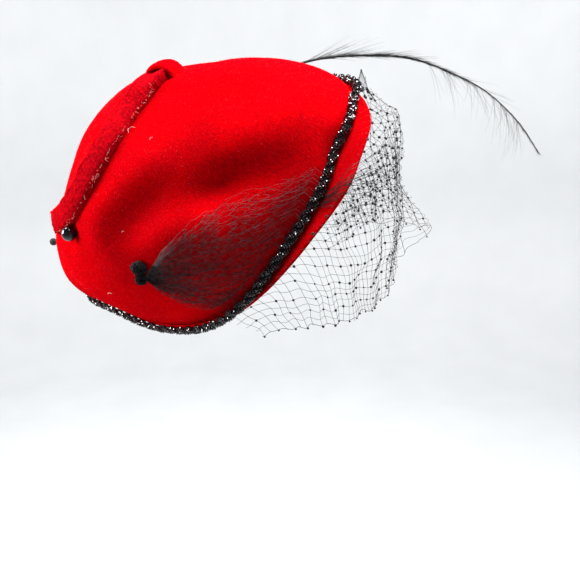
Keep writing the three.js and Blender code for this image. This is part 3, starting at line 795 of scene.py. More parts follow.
# ---------------- bead rope
ROPE_TURNS = 480
ROPE_POINTS = 2400
ROPE_ROOM = 3.05  # from the rope's middle to the felt
ROPE_SLIM = {"less": 0.24, "from": 88, "over": 34}  # share less round the back, by turns
ROPE_STEP = 0.05  # by which the rope moves out until it is clear
NEAR_BRIM = 12  # how far out on the brim the rope keeps clear of the felt
NEAR_CROWN = 0.22  # and up to which rise on the crown
STRANDS = 2
STRAND_OFF = 1.5  # of a strand's middle from the rope's
STRAND_BEADS = 6  # round a strand
STRAND_RADIUS = 1.28  # of the beads' middles round the strand's
ROPE_LAY = 17  # length over which the strands go round once
BEAD = 0.74  # radius
BEAD_PITCH = 1.36
BEAD_SIDES = 6
CORE_RADIUS = 1.9
CORE_SIDES = 12
BEAD_PROFILE = [(0.0, 0.34), (0.55, 0.66), (1.0, 0.30), (1.0, -0.30), (0.55, -0.66), (0.0, -0.34)]


def rope_size(turns):
    """The rope's thickness, which is less round the back."""
    back = np.abs((np.asarray(turns) + 180) % 360 - 180)
    return 1 - ROPE_SLIM["less"] * np.clip((back - ROPE_SLIM["from"]) / ROPE_SLIM["over"], 0, 1)


def rope_centres(turns):
    """The rope's middle at each turn, in the corner of crown and brim."""
    room = ROPE_ROOM * rope_size(turns)
    foot, width = crown(turns, 0.0 * turns), around("brim", turns)
    on_brim = np.clip((width - 1) / 7, 0.12, 1)
    seat = unit(normal_of(crown, turns, 0.03) + RISE * on_brim[:, None])
    near = [brim(turns, share * np.minimum(width, NEAR_BRIM)) for share in np.arange(8) / 8]
    near += [crown(turns, np.full_like(turns, NEAR_CROWN * share)) for share in np.arange(14) / 14]
    near += [brim(turns, width) - RISE * share * FELT for share in (0, 0.5, 1)]
    near = np.array(near)
    distance = np.zeros_like(turns)
    for _ in range(300):
        centre = foot + seat * distance[:, None]
        tight = np.linalg.norm(near - centre, axis=-1).min(0) < room
        if not tight.any():
            break
        distance = distance + ROPE_STEP * tight
    return foot + seat * distance[:, None]


def frames_along(line, up, ring=False):
    """Side, up and way at each point of a line, as the columns of a matrix."""
    if ring:
        way = unit(np.roll(line, -1, 0) - np.roll(line, 1, 0))
    else:
        way = unit(np.gradient(line, axis=0))
    side = unit(np.cross(up, way))
    return np.stack([side, np.cross(way, side), way], -1)


def rope_line():
    """The rope's middle as evenly spaced points, and its thickness at each."""
    turns = all_round(ROPE_TURNS, 360.0)
    centres = rope_centres(turns)
    run = distances(closed(centres))
    places = np.arange(ROPE_POINTS) / ROPE_POINTS * run[-1]
    sizes = np.interp(places, run, closed(rope_size(turns)))
    return even_ring(centres, ROPE_POINTS), sizes


def strand(number):
    """The middle line of one strand, wound round the rope's, as a ring of points."""
    line, sizes = rope_line()
    length = np.linalg.norm(np.roll(line, -1, 0) - line, axis=1).sum()
    axes = frames_along(line, RISE, ring=True)
    share = np.arange(len(line)) / len(line)
    uneven = 0.5 * np.sin(2 * math.pi * 7 * share) + 0.35 * np.sin(2 * math.pi * 17 * share + 1)
    angle = 2 * math.pi * (round(length / ROPE_LAY) * share + number / STRANDS) + uneven
    return line + swung(axes[:, :, 0], axes[:, :, 1], angle) * (STRAND_OFF * sizes)[:, None], sizes


def beads_of(number):
    """The beads round one strand, each a little out of line."""
    rng = np.random.default_rng(20 + number)
    ring, sizes = strand(number)
    rows = round(distances(closed(ring))[-1] / BEAD_PITCH)
    line = even_ring(ring, rows)
    axes = frames_along(line, RISE, ring=True)
    size = np.interp(np.arange(rows) / rows, np.arange(len(sizes)) / len(sizes), sizes)
    centres, frames = [], []
    for k in range(STRAND_BEADS):
        angle = 2 * math.pi * (k + 0.5 * (np.arange(rows) % 2)) / STRAND_BEADS + np.arange(rows) * 0.11
        out = swung(axes[:, :, 0], axes[:, :, 1], angle + rng.normal(0, 0.09, rows))
        reach = STRAND_RADIUS * size + rng.normal(0, 0.07, rows)
        centres.append(line + out * reach[:, None] + axes[:, :, 2] * rng.normal(0, 0.12, (rows, 1)))
        tilted = unit(axes[:, :, 2] + rng.normal(0, 0.4, (rows, 3)))
        side = unit(np.cross(out, tilted))
        frames.append(np.stack([side, np.cross(tilted, side), tilted], -1))
    centres, frames = np.concatenate(centres), np.concatenate(frames)
    shape, faces = lathe(BEAD_PROFILE, BEAD_SIDES)
    return copies(shape, faces, centres, frames, rng.uniform(0.92, 1.06, len(centres)) * BEAD)


def rope_core():
    """The black cord inside the strands."""
    turns = all_round(ROPE_TURNS, 360.0)
    centres = rope_centres(turns)
    axes = frames_along(centres, RISE, ring=True)
    ways = swung(axes[:, None, :, 0], axes[:, None, :, 1], all_round(CORE_SIDES))
    rings = centres[:, None] + CORE_RADIUS * rope_size(turns)[:, None, None] * ways
    faces = grid_faces(ROPE_TURNS + 1, CORE_SIDES, ring=True) % (ROPE_TURNS * CORE_SIDES)
    return rings.reshape(-1, 3), faces


for number, name in enumerate(("bead_strand_a", "bead_strand_b")):
    piece(name, *beads_of(number), BEADS, "beads", ["bead_rope"], smooth=False)
piece("rope_core", *rope_core(), CHENILLE, "beads")

# ---------------- strap and keeper
STRAP_STATIONS = 260
STRAP_GIRTH = 40
STRAP_NOSE = 0.045  # share of the strap over which its ends thin out
STRAP_BROADER = 1.08
STRAP_RIDGE = {"side": -6.0, "half": 0.6, "height": 0.6}  # along its upper left fold
STRAP_FOLD = {"side": 6.7, "up": 6.6, "radius": 0.75}
STRAP_HAIRS = 9000
# The strap's right side gains this much under the keeper, between two shares of its length.
KEEPER_FILL = {"side": 2.2, "up": 3.2, "from": 0.06, "from_fades": 0.04, "to": 0.24, "to_fades": 0.08}
KEEPER_LENGTH = 21
KEEPER_HEIGHT = 11.4
KEEPER_SPOT = 0.1
KEEPER_STATIONS = 72
KEEPER_GIRTH = 28
KEEPER_SECTION = table(
    "side up",
    (-6.5, -1.2),
    (-7, 0.4),
    (-5.5, 1.8),
    (0, 2.3),
    (5.5, 1.8),
    (7, 0.4),
    (6.5, -1.2),
)
CORNER = 0.22  # share of an edge that a rounding takes off
CUT_ENDS = 130
CUT_ROOT = 5.9  # to the side of the strap's middle
LINT_SPOTS = table(
    "turn rise across long",
    (69, 0.80, 3.0, 5.0),
    (120, 0.217, 1.2, 4.5),
    (66, 0.70, 0.5, 2.0),
    (99, 0.46, 0.6, 1.6),
)
LINT_HEIGHT = 0.9


def strap_line(shares):
    """The strap's middle on the felt, and the way out of the felt."""
    ahead, across = (along_table(column(STRAP_PATH, name), shares) for name in ("along", "across"))
    turn, rise = find_on_crown(ahead, across)
    return crown(turn, rise), normal_of(crown, turn, rise)


def section_points(section, count):
    """A section's outline with its corners rounded, as side and up."""
    ring = np.array([(row["side"], row["up"], 0) for row in section], float)
    for _ in range(3):
        line = closed(ring)
        nearer = line[:-1] * (1 - CORNER) + line[1:] * CORNER
        further = line[:-1] * CORNER + line[1:] * (1 - CORNER)
        ring = np.stack([nearer, further], 1).reshape(-1, 3)
    return even_ring(ring, count)[:, :2].T


def swept(centres, axes, side, up):
    """Rings of points at their side and up from each centre."""
    return centres[:, None] + axes[:, None, :, 0] * side[..., None] + axes[:, None, :, 1] * up[..., None]


def nose(share):
    """How thick a rounded end is at a share of the strap from it."""
    return np.sqrt(np.clip(1 - (1 - np.minimum(share / STRAP_NOSE, 1)) ** 2, 0, 1))


def strap_rings():
    """The strap's rings of points, its middle line and the axes along it."""
    shares = np.linspace(0, 1, STRAP_STATIONS)
    centres, normals = strap_line(shares)
    axes = frames_along(centres, normals)
    # It is thinnest at the keeper's end, less so at its free end, and narrows over a shorter stretch.
    size = np.maximum(np.minimum(nose(shares + 0.01), 0.55 + 0.45 * nose(1.01 - shares)), 0.3)
    breadth = np.maximum(np.minimum(nose(shares * 4 + 0.01), nose((1 - shares) * 4 + 0.01)), 0.45)
    side, up = section_points(STRAP_SECTION, STRAP_GIRTH)
    above = up > 0
    before_end = np.clip((KEEPER_FILL["to"] - shares) / KEEPER_FILL["to_fades"], 0, 1)
    past_start = np.clip((shares - KEEPER_FILL["from"]) / KEEPER_FILL["from_fades"], 0, 1)
    filled = (before_end * past_start)[:, None] * np.clip(side / 5, 0, 1)
    ridge = STRAP_RIDGE["height"] * np.exp(-(((side - STRAP_RIDGE["side"]) / STRAP_RIDGE["half"]) ** 2))
    up = np.where(above, up * size[:, None], up * 0.4) + (KEEPER_FILL["up"] * filled + ridge) * above
    side = side * breadth[:, None] * STRAP_BROADER + KEEPER_FILL["side"] * filled
    return swept(centres, axes, side, up), centres, axes


def pile(rings, size, depth, seed):
    """Rings of points moved in and out by a curly pile."""
    middle = rings.mean(1, keepdims=True)
    away = unit(rings - middle)
    curls = np.abs(waves(rings, size, seed)) + 0.5 * np.abs(waves(rings, size * 0.5, seed + 1))
    return rings + away * ((curls - 0.5) * depth)[..., None]


def keeper_rings():
    """The keeper's rings of points, an arch across the strap."""
    (centre,), (normal,) = strap_line(np.array([KEEPER_SPOT]))
    ahead = unit(strap_line(np.array([KEEPER_SPOT + 0.03]))[0][0] - centre)
    across = unit(np.cross(normal, ahead))
    angle = np.linspace(0, math.pi, KEEPER_STATIONS)[:, None]
    arch = KEEPER_HEIGHT * np.maximum(np.sin(angle), 0) ** 0.7 - 3
    centres = centre - across * (KEEPER_LENGTH / 2) * np.cos(angle) + normal * arch
    centres = evenly(centres[None], KEEPER_STATIONS)[0]
    ups = unit(centres - (centre - normal * 4))
    side, up = section_points(KEEPER_SECTION, KEEPER_GIRTH)
    return swept(centres, frames_along(centres, ups), side[None], up[None])


def strap_hair():
    """Fibres standing off the strap's pile."""
    rng = np.random.default_rng(33)
    i = rng.integers(2, len(strap_body) - 2, STRAP_HAIRS)
    j = rng.integers(0, strap_body.shape[1], STRAP_HAIRS)
    roots = strap_body[i, j] + rng.normal(0, 0.2, (STRAP_HAIRS, 3))
    away = unit(strap_body[i, j] - strap_body[i].mean(1))
    ways = unit(away + rng.normal(0, 0.7, (STRAP_HAIRS, 3)))
    return slivers(roots, ways, (0.5, 1.3), (0.06, 0.12), rng, 34)


def strap_edge():
    """The smooth folded edge along the strap's upper left corner."""
    inner = slice(STRAP_STATIONS // 12, -2)
    side, up = strap_axes[inner, :, 0], strap_axes[inner, :, 1]
    uneven = waves(strap_middles[inner], 6, 37)[:, None] * 0.18
    path = strap_middles[inner] - side * (STRAP_FOLD["side"] + uneven) + up * (STRAP_FOLD["up"] + uneven)
    return tubes(path[None], STRAP_FOLD["radius"], 8, tips=True)


def cut_ends():
    """Pale cut fibres that stand off the strap's right edge."""
    rng = np.random.default_rng(36)
    share = rng.beta(1.1, 1.3, CUT_ENDS) * 0.84 + 0.08
    station = (share * (STRAP_STATIONS - 1)).astype(int)
    side, up = strap_axes[station, :, 0], strap_axes[station, :, 1]
    roots = strap_middles[station] + side * (CUT_ROOT + rng.normal(0, 0.15, (CUT_ENDS, 1)))
    roots = roots + up * rng.uniform(2.0, 3.4, (CUT_ENDS, 1))
    way = unit(side * 0.8 + up * 0.4 + rng.normal(0, 0.5, (CUT_ENDS, 3)))
    bend = unit(np.cross(way, rng.normal(0, 1, (CUT_ENDS, 3))))
    step = np.linspace(0, 1, 6)[None, :, None]
    length = rng.uniform(0.7, 2.2, (CUT_ENDS, 1, 1))
    return tubes(roots[:, None] + length * (way[:, None] * step + bend[:, None] * 0.5 * step**2), 0.07)


def lint():
    """Stray threads of lint, each lying on the felt in a curl."""
    parts = []
    step = np.linspace(0, 1, 12)
    for number, spot in enumerate(LINT_SPOTS):
        turn, rise = np.array(float(spot["turn"])), np.array(spot["rise"])
        base = over(turn, rise, LINT_HEIGHT)
        level = unit(over(turn + 1, rise, LINT_HEIGHT) - base)
        steep = unit(over(turn, rise + 0.01, LINT_HEIGHT) - base)
        run = spot["long"] * (step - 0.5)
        curl = spot["across"] * np.sin(math.pi * step)
        lift = 0.5 * np.sin(math.pi * step * (2 + number % 2)) ** 2
        places = np.stack([run, curl, lift], -1) @ np.array([level, steep, normal_of(crown, turn, rise)])
        parts.append(tubes((base + places)[None], 0.13))
    return joined(*parts)


def felt_piece(name, body, cloth, stands_for=()):
    """A piece of felt whose nap isn't brushed one way."""
    points, faces = body
    piece(name, points, faces, cloth, "felt", stands_for, nap=points * MM)


strap_body, strap_middles, strap_axes = strap_rings()
felt_piece("strap_felt", lofted(pile(strap_body, 1.15, 0.42, 31)), STRAP_CLOTH_PAINTED_SHADE, ["crown_strap"])
piece("strap_pile", *strap_hair(), STRAP_HAIR_PAINTED_SHADE, "felt", smooth=False)
# The folded edge keeps the crown's lighter felt, beside the strap's painted shade.
felt_piece("strap_edge", strap_edge(), FELT_CLOTH)
piece("strap_cut_ends", *cut_ends(), CUT_FIBRE, "felt")
piece("stray_lint", *lint(), LINT, "felt")
felt_piece("keeper_felt", lofted(pile(keeper_rings(), 2.2, 0.18, 35)), FELT_CLOTH, ["strap_keeper"])

# ---------------- hatpin
PIN_FLARE = 9  # length of the flared end
PIN_COLLAR = 1.5  # radius
PIN_SIDES = 40


def pin_parts():
    """The ball with its shaft, and the flared end."""
    length = np.linalg.norm(PIN_TIP - pin_ball)
    neck = length - PIN_FLARE
    way = (PIN_TIP - pin_ball) / length
    side = unit(np.cross(way, [0, 0, 1]))
    axes = np.stack([side, np.cross(way, side), way])
    arc = np.linspace(0, math.pi - math.asin(PIN_SHAFT / PIN_BALL), 30)
    head = [
        *[(PIN_BALL * math.sin(a), -PIN_BALL * math.cos(a)) for a in arc],
        (PIN_COLLAR, PIN_BALL * 0.98),
        (PIN_COLLAR, PIN_BALL + 0.8),
        (PIN_SHAFT, PIN_BALL + 1.0),
        (PIN_SHAFT, neck),
        (0, neck),
    ]
    flare = [
        (0, neck),
        (PIN_SHAFT, neck + 0.1),
        (PIN_TAIL * 0.62, length - 4.5),
        (PIN_TAIL, length - 0.5),
        (PIN_TAIL * 0.9, length),
        (0, length),
    ]
    bodies = [lathe(profile, PIN_SIDES) for profile in (head, flare)]
    return [(pin_ball + points @ axes, faces) for points, faces in bodies]


pin_head, pin_end = pin_parts()
piece("hatpin_black", *pin_head, PIN, "pin", ["hatpin"])
piece("hatpin_end", *pin_end, CHENILLE, "pin", ["hatpin"])

# ---------------- chenille knots
KNOT_VOXEL = 0.4  # edge of the cells in which the lumps run together
KNOT_HAIRS = 1500
LUMP_INSET = 0.5  # of a lump under its pile
SIDES = (("right", 1), ("left", -1))


def knot_lumps(mirror):
    """The middle and radius of each of a knot's lumps."""
    turn, rise = mirror * KNOT_SPOT["turn"], KNOT_SPOT["rise"]
    spot, normal = crown(turn, rise), normal_of(crown, turn, rise)
    down = unit(crown(turn, rise - 0.02) - crown(turn, rise + 0.02))
    ahead = unit(crown(turn - mirror, rise) - crown(turn + mirror, rise))
    return [
        (spot + down * lump["down"] + ahead * lump["ahead"] + normal * lump["height"], lump["radius"])
        for lump in KNOT
    ]


def run_together(body):
    """Gives a piece one skin over its lumps, and returns its new mesh."""
    remesh = body.modifiers.new("run_together", "REMESH")
    remesh.mode = "VOXEL"
    remesh.voxel_size = KNOT_VOXEL * MM
    whole = bpy.data.meshes.new_from_object(body.evaluated_get(bpy.context.evaluated_depsgraph_get()))
    body.modifiers.clear()
    body.data = whole
    return whole


def knot(side, mirror):
    """Lumps of chenille run together, with a furry face and its pile."""
    name = "knot_" + side
    lumps = knot_lumps(mirror)
    shape, faces = ball(13, 18)
    balls = joined(*[(centre + shape * (radius - LUMP_INSET), faces) for centre, radius in lumps])
    skin = run_together(piece(name, *balls, CHENILLE, "net", ["veil_knot_" + side]))
    points = np.empty(len(skin.vertices) * 3, np.float32)
    skin.vertices.foreach_get("co", points)
    points = points.reshape(-1, 3).astype(float) / MM
    centres = np.array([centre for centre, _radius in lumps])
    nearest = centres[((points[:, None] - centres) ** 2).sum(-1).argmin(1)]
    fur = np.abs(waves(points, 1.1, 41)) * 0.7
    points = points + unit(points - nearest) * fur[:, None]
    skin.vertices.foreach_set("co", (points * MM).astype(np.float32).ravel())
    skin.shade_smooth()
    skin.update()
    rng = np.random.default_rng(42)
    spots = rng.integers(0, len(points), KNOT_HAIRS)
    ways = unit(unit(points - nearest)[spots] + rng.normal(0, 0.45, (KNOT_HAIRS, 3)))
    hair = slivers(points[spots], ways, (0.5, 1.2), (0.08, 0.14), rng, 43)
    piece(name + "_pile", *hair, CHENILLE, "net", smooth=False)


for side, mirror in SIDES:
    knot(side, mirror)

# ---------------- net: the fans on the crown
FAN_THREAD = 0.095  # radius
# The fan's layers: their long threads, their height over the crown, the share of the fan's length
# from row to row, how the threads crowd towards the lower edge, and their seed.
FAN_LAYERS = table(
    "threads height cell lean seed",
    (46, 0.5, 0.050, 0.66, 51),
    (40, 0.9, 0.062, 0.52, 52),
)
FAN_POINTS = 64
FAN_ZIGZAG = 0.30  # of the threads' and rows' spacing
FAN_BULGE = 0.6  # halfway between the knot and the rope
FAN_PINCH = {"to": 0.30, "over": 0.16, "about": 0.62}  # how the fan narrows towards its knot
FAN_STRAYS = 70


def fan_between(upper, lower, share, across):
    """A value of the fan's table between its two edges' columns."""
    above, below = (along_table(column(FAN, name), share) for name in (upper, lower))
    return above + (below - above) * across


def fan_turn(share, across, mirror):
    """The turn of a place of the fan."""
    return mirror * fan_between("upper", "lower", share, across)


def fan_at(share, across, height, mirror):
    """A point of the fan from its knot (share 0) to the rope (1), from its upper edge to its lower."""
    pinch = FAN_PINCH["to"] + (1 - FAN_PINCH["to"]) * np.clip(share / FAN_PINCH["over"], 0, 1) ** 0.8
    across = FAN_PINCH["about"] + (across - FAN_PINCH["about"]) * pinch
    turn = fan_turn(share, across, mirror)
    level = fan_between("upper_height", "lower_height", share, across)
    return over(turn, rise_at(turn, level), height)


def wander(share, rounds, rng):
    """A slow wave along a thread, with its number of rounds and its phase at random."""
    return np.sin(2 * math.pi * share * rng.uniform(*rounds) + rng.uniform(0, 6.3))


def fan_threads(layer, mirror, rng):
    """The fan's long threads, from inside the knot to the rope."""
    tie = knot_lumps(mirror)[-2][0]
    threads, cell = layer["threads"], layer["cell"]
    share = np.linspace(0.02, 1.0, FAN_POINTS)
    paths, ends = [], []
    for k in range(threads):
        start = np.clip((k + rng.uniform(-0.35, 0.35)) / (threads - 1), 0, 1) ** layer["lean"]
        zigzag = FAN_ZIGZAG / threads * np.sin(2 * math.pi * share / (2 * cell) + math.pi * (k % 2))
        drift = 0.045 * wander(share, (0.8, 2.6), rng) * (1 - 0.5 * share)
        across = np.clip(start + zigzag * np.clip(share * 3, 0, 1) + drift, -0.01, 1.06)
        bulge = np.sin(math.pi * share) * FAN_BULGE
        height = layer["height"] + bulge + 0.25 * np.sin(2 * math.pi * share * 5 + k)
        path = fan_at(share, across, height, mirror)
        tied = tie + rng.normal(0, 0.6, 3)
        paths.append(np.concatenate([tied + (path[0] - tied) * np.array([[0], [0.35], [0.7]]), path]))
        ends.append(fan_turn(1.0, across[-1], mirror))
    paths = np.array(paths)
    goal = rope_centres(np.array(ends))
    tails = paths[:, -1:] + (goal[:, None] - paths[:, -1:]) * np.array([0.25, 0.5, 0.75])[:, None]
    paths = np.concatenate([paths, tails], 1)
    return tubes(paths, FAN_THREAD * rng.uniform(0.8, 1.2, (threads, 1)))


def fan_row(layer, row, mirror, rng):
    """One of the fan's threads from edge to edge."""
    threads, cell = layer["threads"], layer["cell"]
    across = np.linspace(0, 1, 4 * threads)
    where = row * cell + rng.uniform(-0.2, 0.2) * cell
    zigzag = FAN_ZIGZAG * cell * np.sin(math.pi * across * (threads - 1) + math.pi * (row % 2))
    drift = 0.35 * cell * wander(across, (0.6, 1.6), rng)
    share = np.clip(where + (zigzag + drift) * min(1, where * 4), 0.03, 1)
    height = layer["height"] + FAN_BULGE * np.sin(math.pi * share)
    keep = slice(rng.integers(0, 12), len(across) - rng.integers(0, 12))
    return tubes(fan_at(share, across, height, mirror)[keep][None], FAN_THREAD * 0.9)


def fan_strays(mirror):
    """Loose threads that stand off the fan."""
    rng = np.random.default_rng(55)
    share = np.linspace(0.0, 1.0, 24)
    for _ in range(FAN_STRAYS):
        reach = rng.uniform(0.12, 0.75)
        across = rng.uniform(0.1, 0.95) + rng.uniform(-0.2, 0.2) * share
        lift = 0.4 + rng.uniform(0.4, 2.6) * np.sin(math.pi * share) ** 2
        path = fan_at(share * reach, np.clip(across, 0, 1), lift, mirror)
        yield tubes(path[None], FAN_THREAD * 0.7)


def fan_net(mirror):
    """A whole fan, thread by thread."""
    parts = []
    for layer in FAN_LAYERS:
        rng = np.random.default_rng(layer["seed"])
        parts.append(fan_threads(layer, mirror, rng))
        parts += [fan_row(layer, row, mirror, rng) for row in range(1, int(1 / layer["cell"]))]
    return joined(*parts, *fan_strays(mirror))


for side, mirror in SIDES:
    fan = piece("net_fan_" + side, *fan_net(mirror), FAN_HAIR_PAINTED_GLINT, "net", ["veil_fan_" + side])

# ---------------- net: the veil
NET_THREAD = 0.13  # radius
NET_CELL = 5.7  # between rows, and between columns where the net isn't gathered
NET_DOT = 0.76  # radius
EDGE_ROOM = 1.9  # between the net and the brim's edge
GATHER = [1.15, 1.2, 1.9, 1.4, 0.36, 0.56, 0.66, 0.7, 0.7]  # cloth to each length of the veil's line
ROW_TOP = 0.012  # share of the veil's depth over which its rows are bunched out of sight
ROW_THICK = 0.95
EDGE_THICK = 1.4
EDGE_SCALLOP = 0.012  # how far up the free edge goes between two columns
COLUMN_POINTS = 65
FOLDS = 21  # upright, across the veil's width
FOLD_DEPTH = 1.7
# The net's own waves: how large they are and how far they move it.
NET_WAVES = {"swell": (42, 1.6), "crumple": (11, 1.3), "sway": (13, 1.3), "sag": (15, 1.2)}
NET_INWARD = 2.0  # how far its free part lies inside the plain surface
RUN_POINTS = 180  # of a row in one tube
# Threads drawn together over the brim: between which shares of the width they start and end, and
# how far down.
BUNDLE = {"threads": 36, "from": (0.235, 0.265), "to": (0.25, 0.42), "down": (0.22, 0.48)}
# The small peak above the rope at the front: how far it draws the net near it, and its own threads.
PEAK = {
    "at": (-48.0, -97.0, 72.0),
    "reach": 5.0,
    "pull": (0.0, 1.5, 8.5),
    "threads": 10,
    "broad": (4, 7),
    "tall": 10,
}
FINE_COLUMNS = 481
FINE_ROWS = 97
# The net's layers from their first to their last share of the width: where they start and how far
# down they reach at both ends, how far out they bow, their threads' thickness and their seed.
LAYERS = table(
    "from to top reach out thick seed",
    (0.0, 1.0, 0.0, (1.0, 1.0), 0.0, 1.0, 61),
    (0.20, 0.42, 0.22, (0.32, 0.55), 0.8, 0.75, 62),
    (0.23, 0.50, 0.20, (0.27, 0.48), 1.6, 0.75, 63),
)


def veil_lines(shares):
    """The veil's lines from the rope to its free edge, each FINE_ROWS points."""
    turn = along_table(column(VEIL, "top"), shares)
    out = outward(turn)
    foot = crown(turn, 0.0 * turn)
    clear = ((rope_centres(turn) - foot) * out).sum(-1) + ROPE_RADIUS * 0.4
    width = np.maximum(around("brim", turn), clear)
    start = brim(turn, clear) + RISE * 1.0
    edge = brim(turn, width) + out * 1.5 + RISE * (EDGE_ROOM + 0.6)
    knee, mid, low = (along_table(column(VEIL, name), shares) for name in ("knee", "mid", "low"))
    knots = [start, (start + edge) / 2, edge, edge * 0.3 + knee * 0.7, knee, mid, low]
    return smooth_curve(np.stack(knots, 1), FINE_ROWS), np.linalg.norm(edge - start, axis=-1)


veil_shares = np.linspace(0, 1, FINE_COLUMNS)
veil_grid, veil_on_brim = veil_lines(veil_shares)
veil_lengths = np.linalg.norm(np.diff(veil_grid, axis=1), axis=-1).sum(1)


def grid_at(share, down):
    """A point of the veil's plain surface at shares of its width and of its depth."""
    x = np.clip(share, 0, 1) * (FINE_COLUMNS - 1)
    y = np.clip(down, 0, 1) * (FINE_ROWS - 1)
    i, j = np.minimum(x.astype(int), FINE_COLUMNS - 2), np.minimum(y.astype(int), FINE_ROWS - 2)
    u, v = (x - i)[..., None], (y - j)[..., None]
    return (
        veil_grid[i, j] * (1 - u) * (1 - v) + veil_grid[i + 1, j] * u * (1 - v)
        + veil_grid[i, j + 1] * (1 - u) * v + veil_grid[i + 1, j + 1] * u * v
    )


def reach_of(layer, share):
    """How far down a layer of the net hangs, as a share of the veil's depth."""
    return np.interp(share, (layer["from"], layer["to"]), layer["reach"])


def brim_end(share):
    """How far down the veil the brim's edge is, as a share of its depth."""
    return np.interp(share, veil_shares, veil_on_brim / veil_lengths)


def depth_at(share):
    """The veil's depth at a share of its width."""
    return np.interp(share, veil_shares, veil_lengths)


def shows(layer, share, down):
    """Whether a place of the net hangs clear of the rope."""
    return down > np.maximum(layer["top"], brim_end(share) + ROW_TOP)


def net_at(share, down, layer):
    """A point of the net: the plain surface with its folds, sags and wrinkles."""
    share, down = np.broadcast_arrays(share, down)
    point, seed = grid_at(share, down), layer["seed"]
    across = grid_at(share + 0.004, down) - grid_at(share - 0.004, down)
    below = grid_at(share, down + 0.02) - grid_at(share, down - 0.02)
    normal = unit(np.cross(below, across))
    free = np.clip(down * 2.2, 0, 1)
    fold = np.sin(2 * math.pi * (share * FOLDS + 0.6 * np.sin(share * 17 + seed))) * FOLD_DEPTH
    swell, crumple, sway, sag = (
        waves(point, size, seed + k) * depth for k, (size, depth) in enumerate(NET_WAVES.values())
    )
    bow = np.sin(math.pi * np.clip(down / reach_of(layer, share), 0, 1)) ** 0.6
    off = (fold + swell + crumple - NET_INWARD) * free + layer["out"] * bow
    aside = sway[..., None] * unit(across) + sag[..., None] * unit(below)
    return point + normal * off[..., None] + aside * free[..., None]


def column_shares():
    """Where the net's columns lie, closer together where it is gathered, and the cloth's width."""
    middle = veil_grid[:, FINE_ROWS * 2 // 3]
    steps = np.linalg.norm(np.diff(middle, axis=0), axis=1)
    gather = along_table(GATHER, (veil_shares[1:] + veil_shares[:-1]) / 2)
    cloth = np.concatenate([[0], np.cumsum(steps * gather)]) / NET_CELL
    return np.interp(np.arange(0.5, cloth[-1]), cloth, veil_shares), cloth[-1] * NET_CELL


def net_columns(layer, mine, rng):
    """The threads that hang down, each as two tubes, thinner on the brim and where they crowd."""
    downs = np.linspace(layer["top"], reach_of(layer, mine), COLUMN_POINTS).T
    thin = layer["thick"] * (0.25 + 0.75 * np.clip((downs - brim_end(mine)[:, None]) / 0.05, 0, 1))
    slack = 1 / np.sqrt(along_table(GATHER, mine)[:, None])
    radii = NET_THREAD * rng.uniform(0.85, 1.15, (len(mine), 1)) * thin * (0.35 + 0.65 * slack)
    lines = net_at(mine[:, None], downs, layer)
    half = COLUMN_POINTS // 2
    upper, lower = slice(0, half + 1), slice(half, COLUMN_POINTS)
    return joined(*(tubes(lines[:, run], radii[:, run]) for run in (upper, lower)))


def net_row(layer, row, mine):
    """One thread across the net, in runs where it hangs clear of the rope."""
    fine = np.linspace(layer["from"], layer["to"], 6 * len(mine))
    down = reach_of(layer, fine) - row * NET_CELL / depth_at(fine)
    if row == 0:
        column_number = np.interp(fine, mine, np.arange(len(mine)))
        down = down - EDGE_SCALLOP * (1 - np.sin(math.pi / 2 * column_number))
    radius = NET_THREAD * layer["thick"] * (ROW_THICK if row else EDGE_THICK)
    hangs = shows(layer, fine, down)
    parts = []
    for run in np.split(np.arange(len(fine)), np.flatnonzero(np.diff(hangs.astype(int))) + 1):
        if not hangs[run[0]] or len(run) < 8:
            continue
        for start in range(0, len(run) - 6, RUN_POINTS):
            stretch = run[start : start + RUN_POINTS + 1]
            path = net_at(fine[stretch], down[stretch], layer)
            parts.append(tubes(path[None], radius))
    return parts


def net_dots(layer, row, mine):
    """Where a row's dots are: at every second column, and in odd rows only high up at the side."""
    kept = mine[(np.arange(len(mine)) + row // 2) % 2 == 0]
    down = reach_of(layer, kept) - row * NET_CELL / depth_at(kept)
    seen = shows(layer, kept, down)
    if row % 2 and layer["reach"][0] == 1:
        seen = seen & (down < 0.45) & (kept > 0.26) & (kept < 0.64)
    return net_at(kept[seen], down[seen], layer)


def net_bundle():
    """Threads drawn together over the brim, that spread into the veil."""
    rng = np.random.default_rng(64)
    share = np.linspace(0, 1, 40)
    for _ in range(BUNDLE["threads"]):
        first, last = rng.uniform(*BUNDLE["from"]), rng.uniform(*BUNDLE["to"])
        deep = rng.uniform(*BUNDLE["down"])
        aside = 0.006 * wander(share, (1, 3), rng)
        path = net_at(first + (last - first) * share**1.3 + aside * share, deep * share, LAYERS[0])
        lift = 0.8 * np.sin(math.pi * share) * rng.uniform(0.2, 1.6)
        yield tubes((path + RISE * lift[:, None])[None], NET_THREAD * rng.uniform(0.7, 1.0))


def peaked(points):
    """Points of the net drawn up to the small peak above the rope at the front."""
    near = np.exp(-((points - PEAK["at"]) ** 2).sum(-1) / PEAK["reach"] ** 2)
    return points + np.array(PEAK["pull"]) * near[..., None]


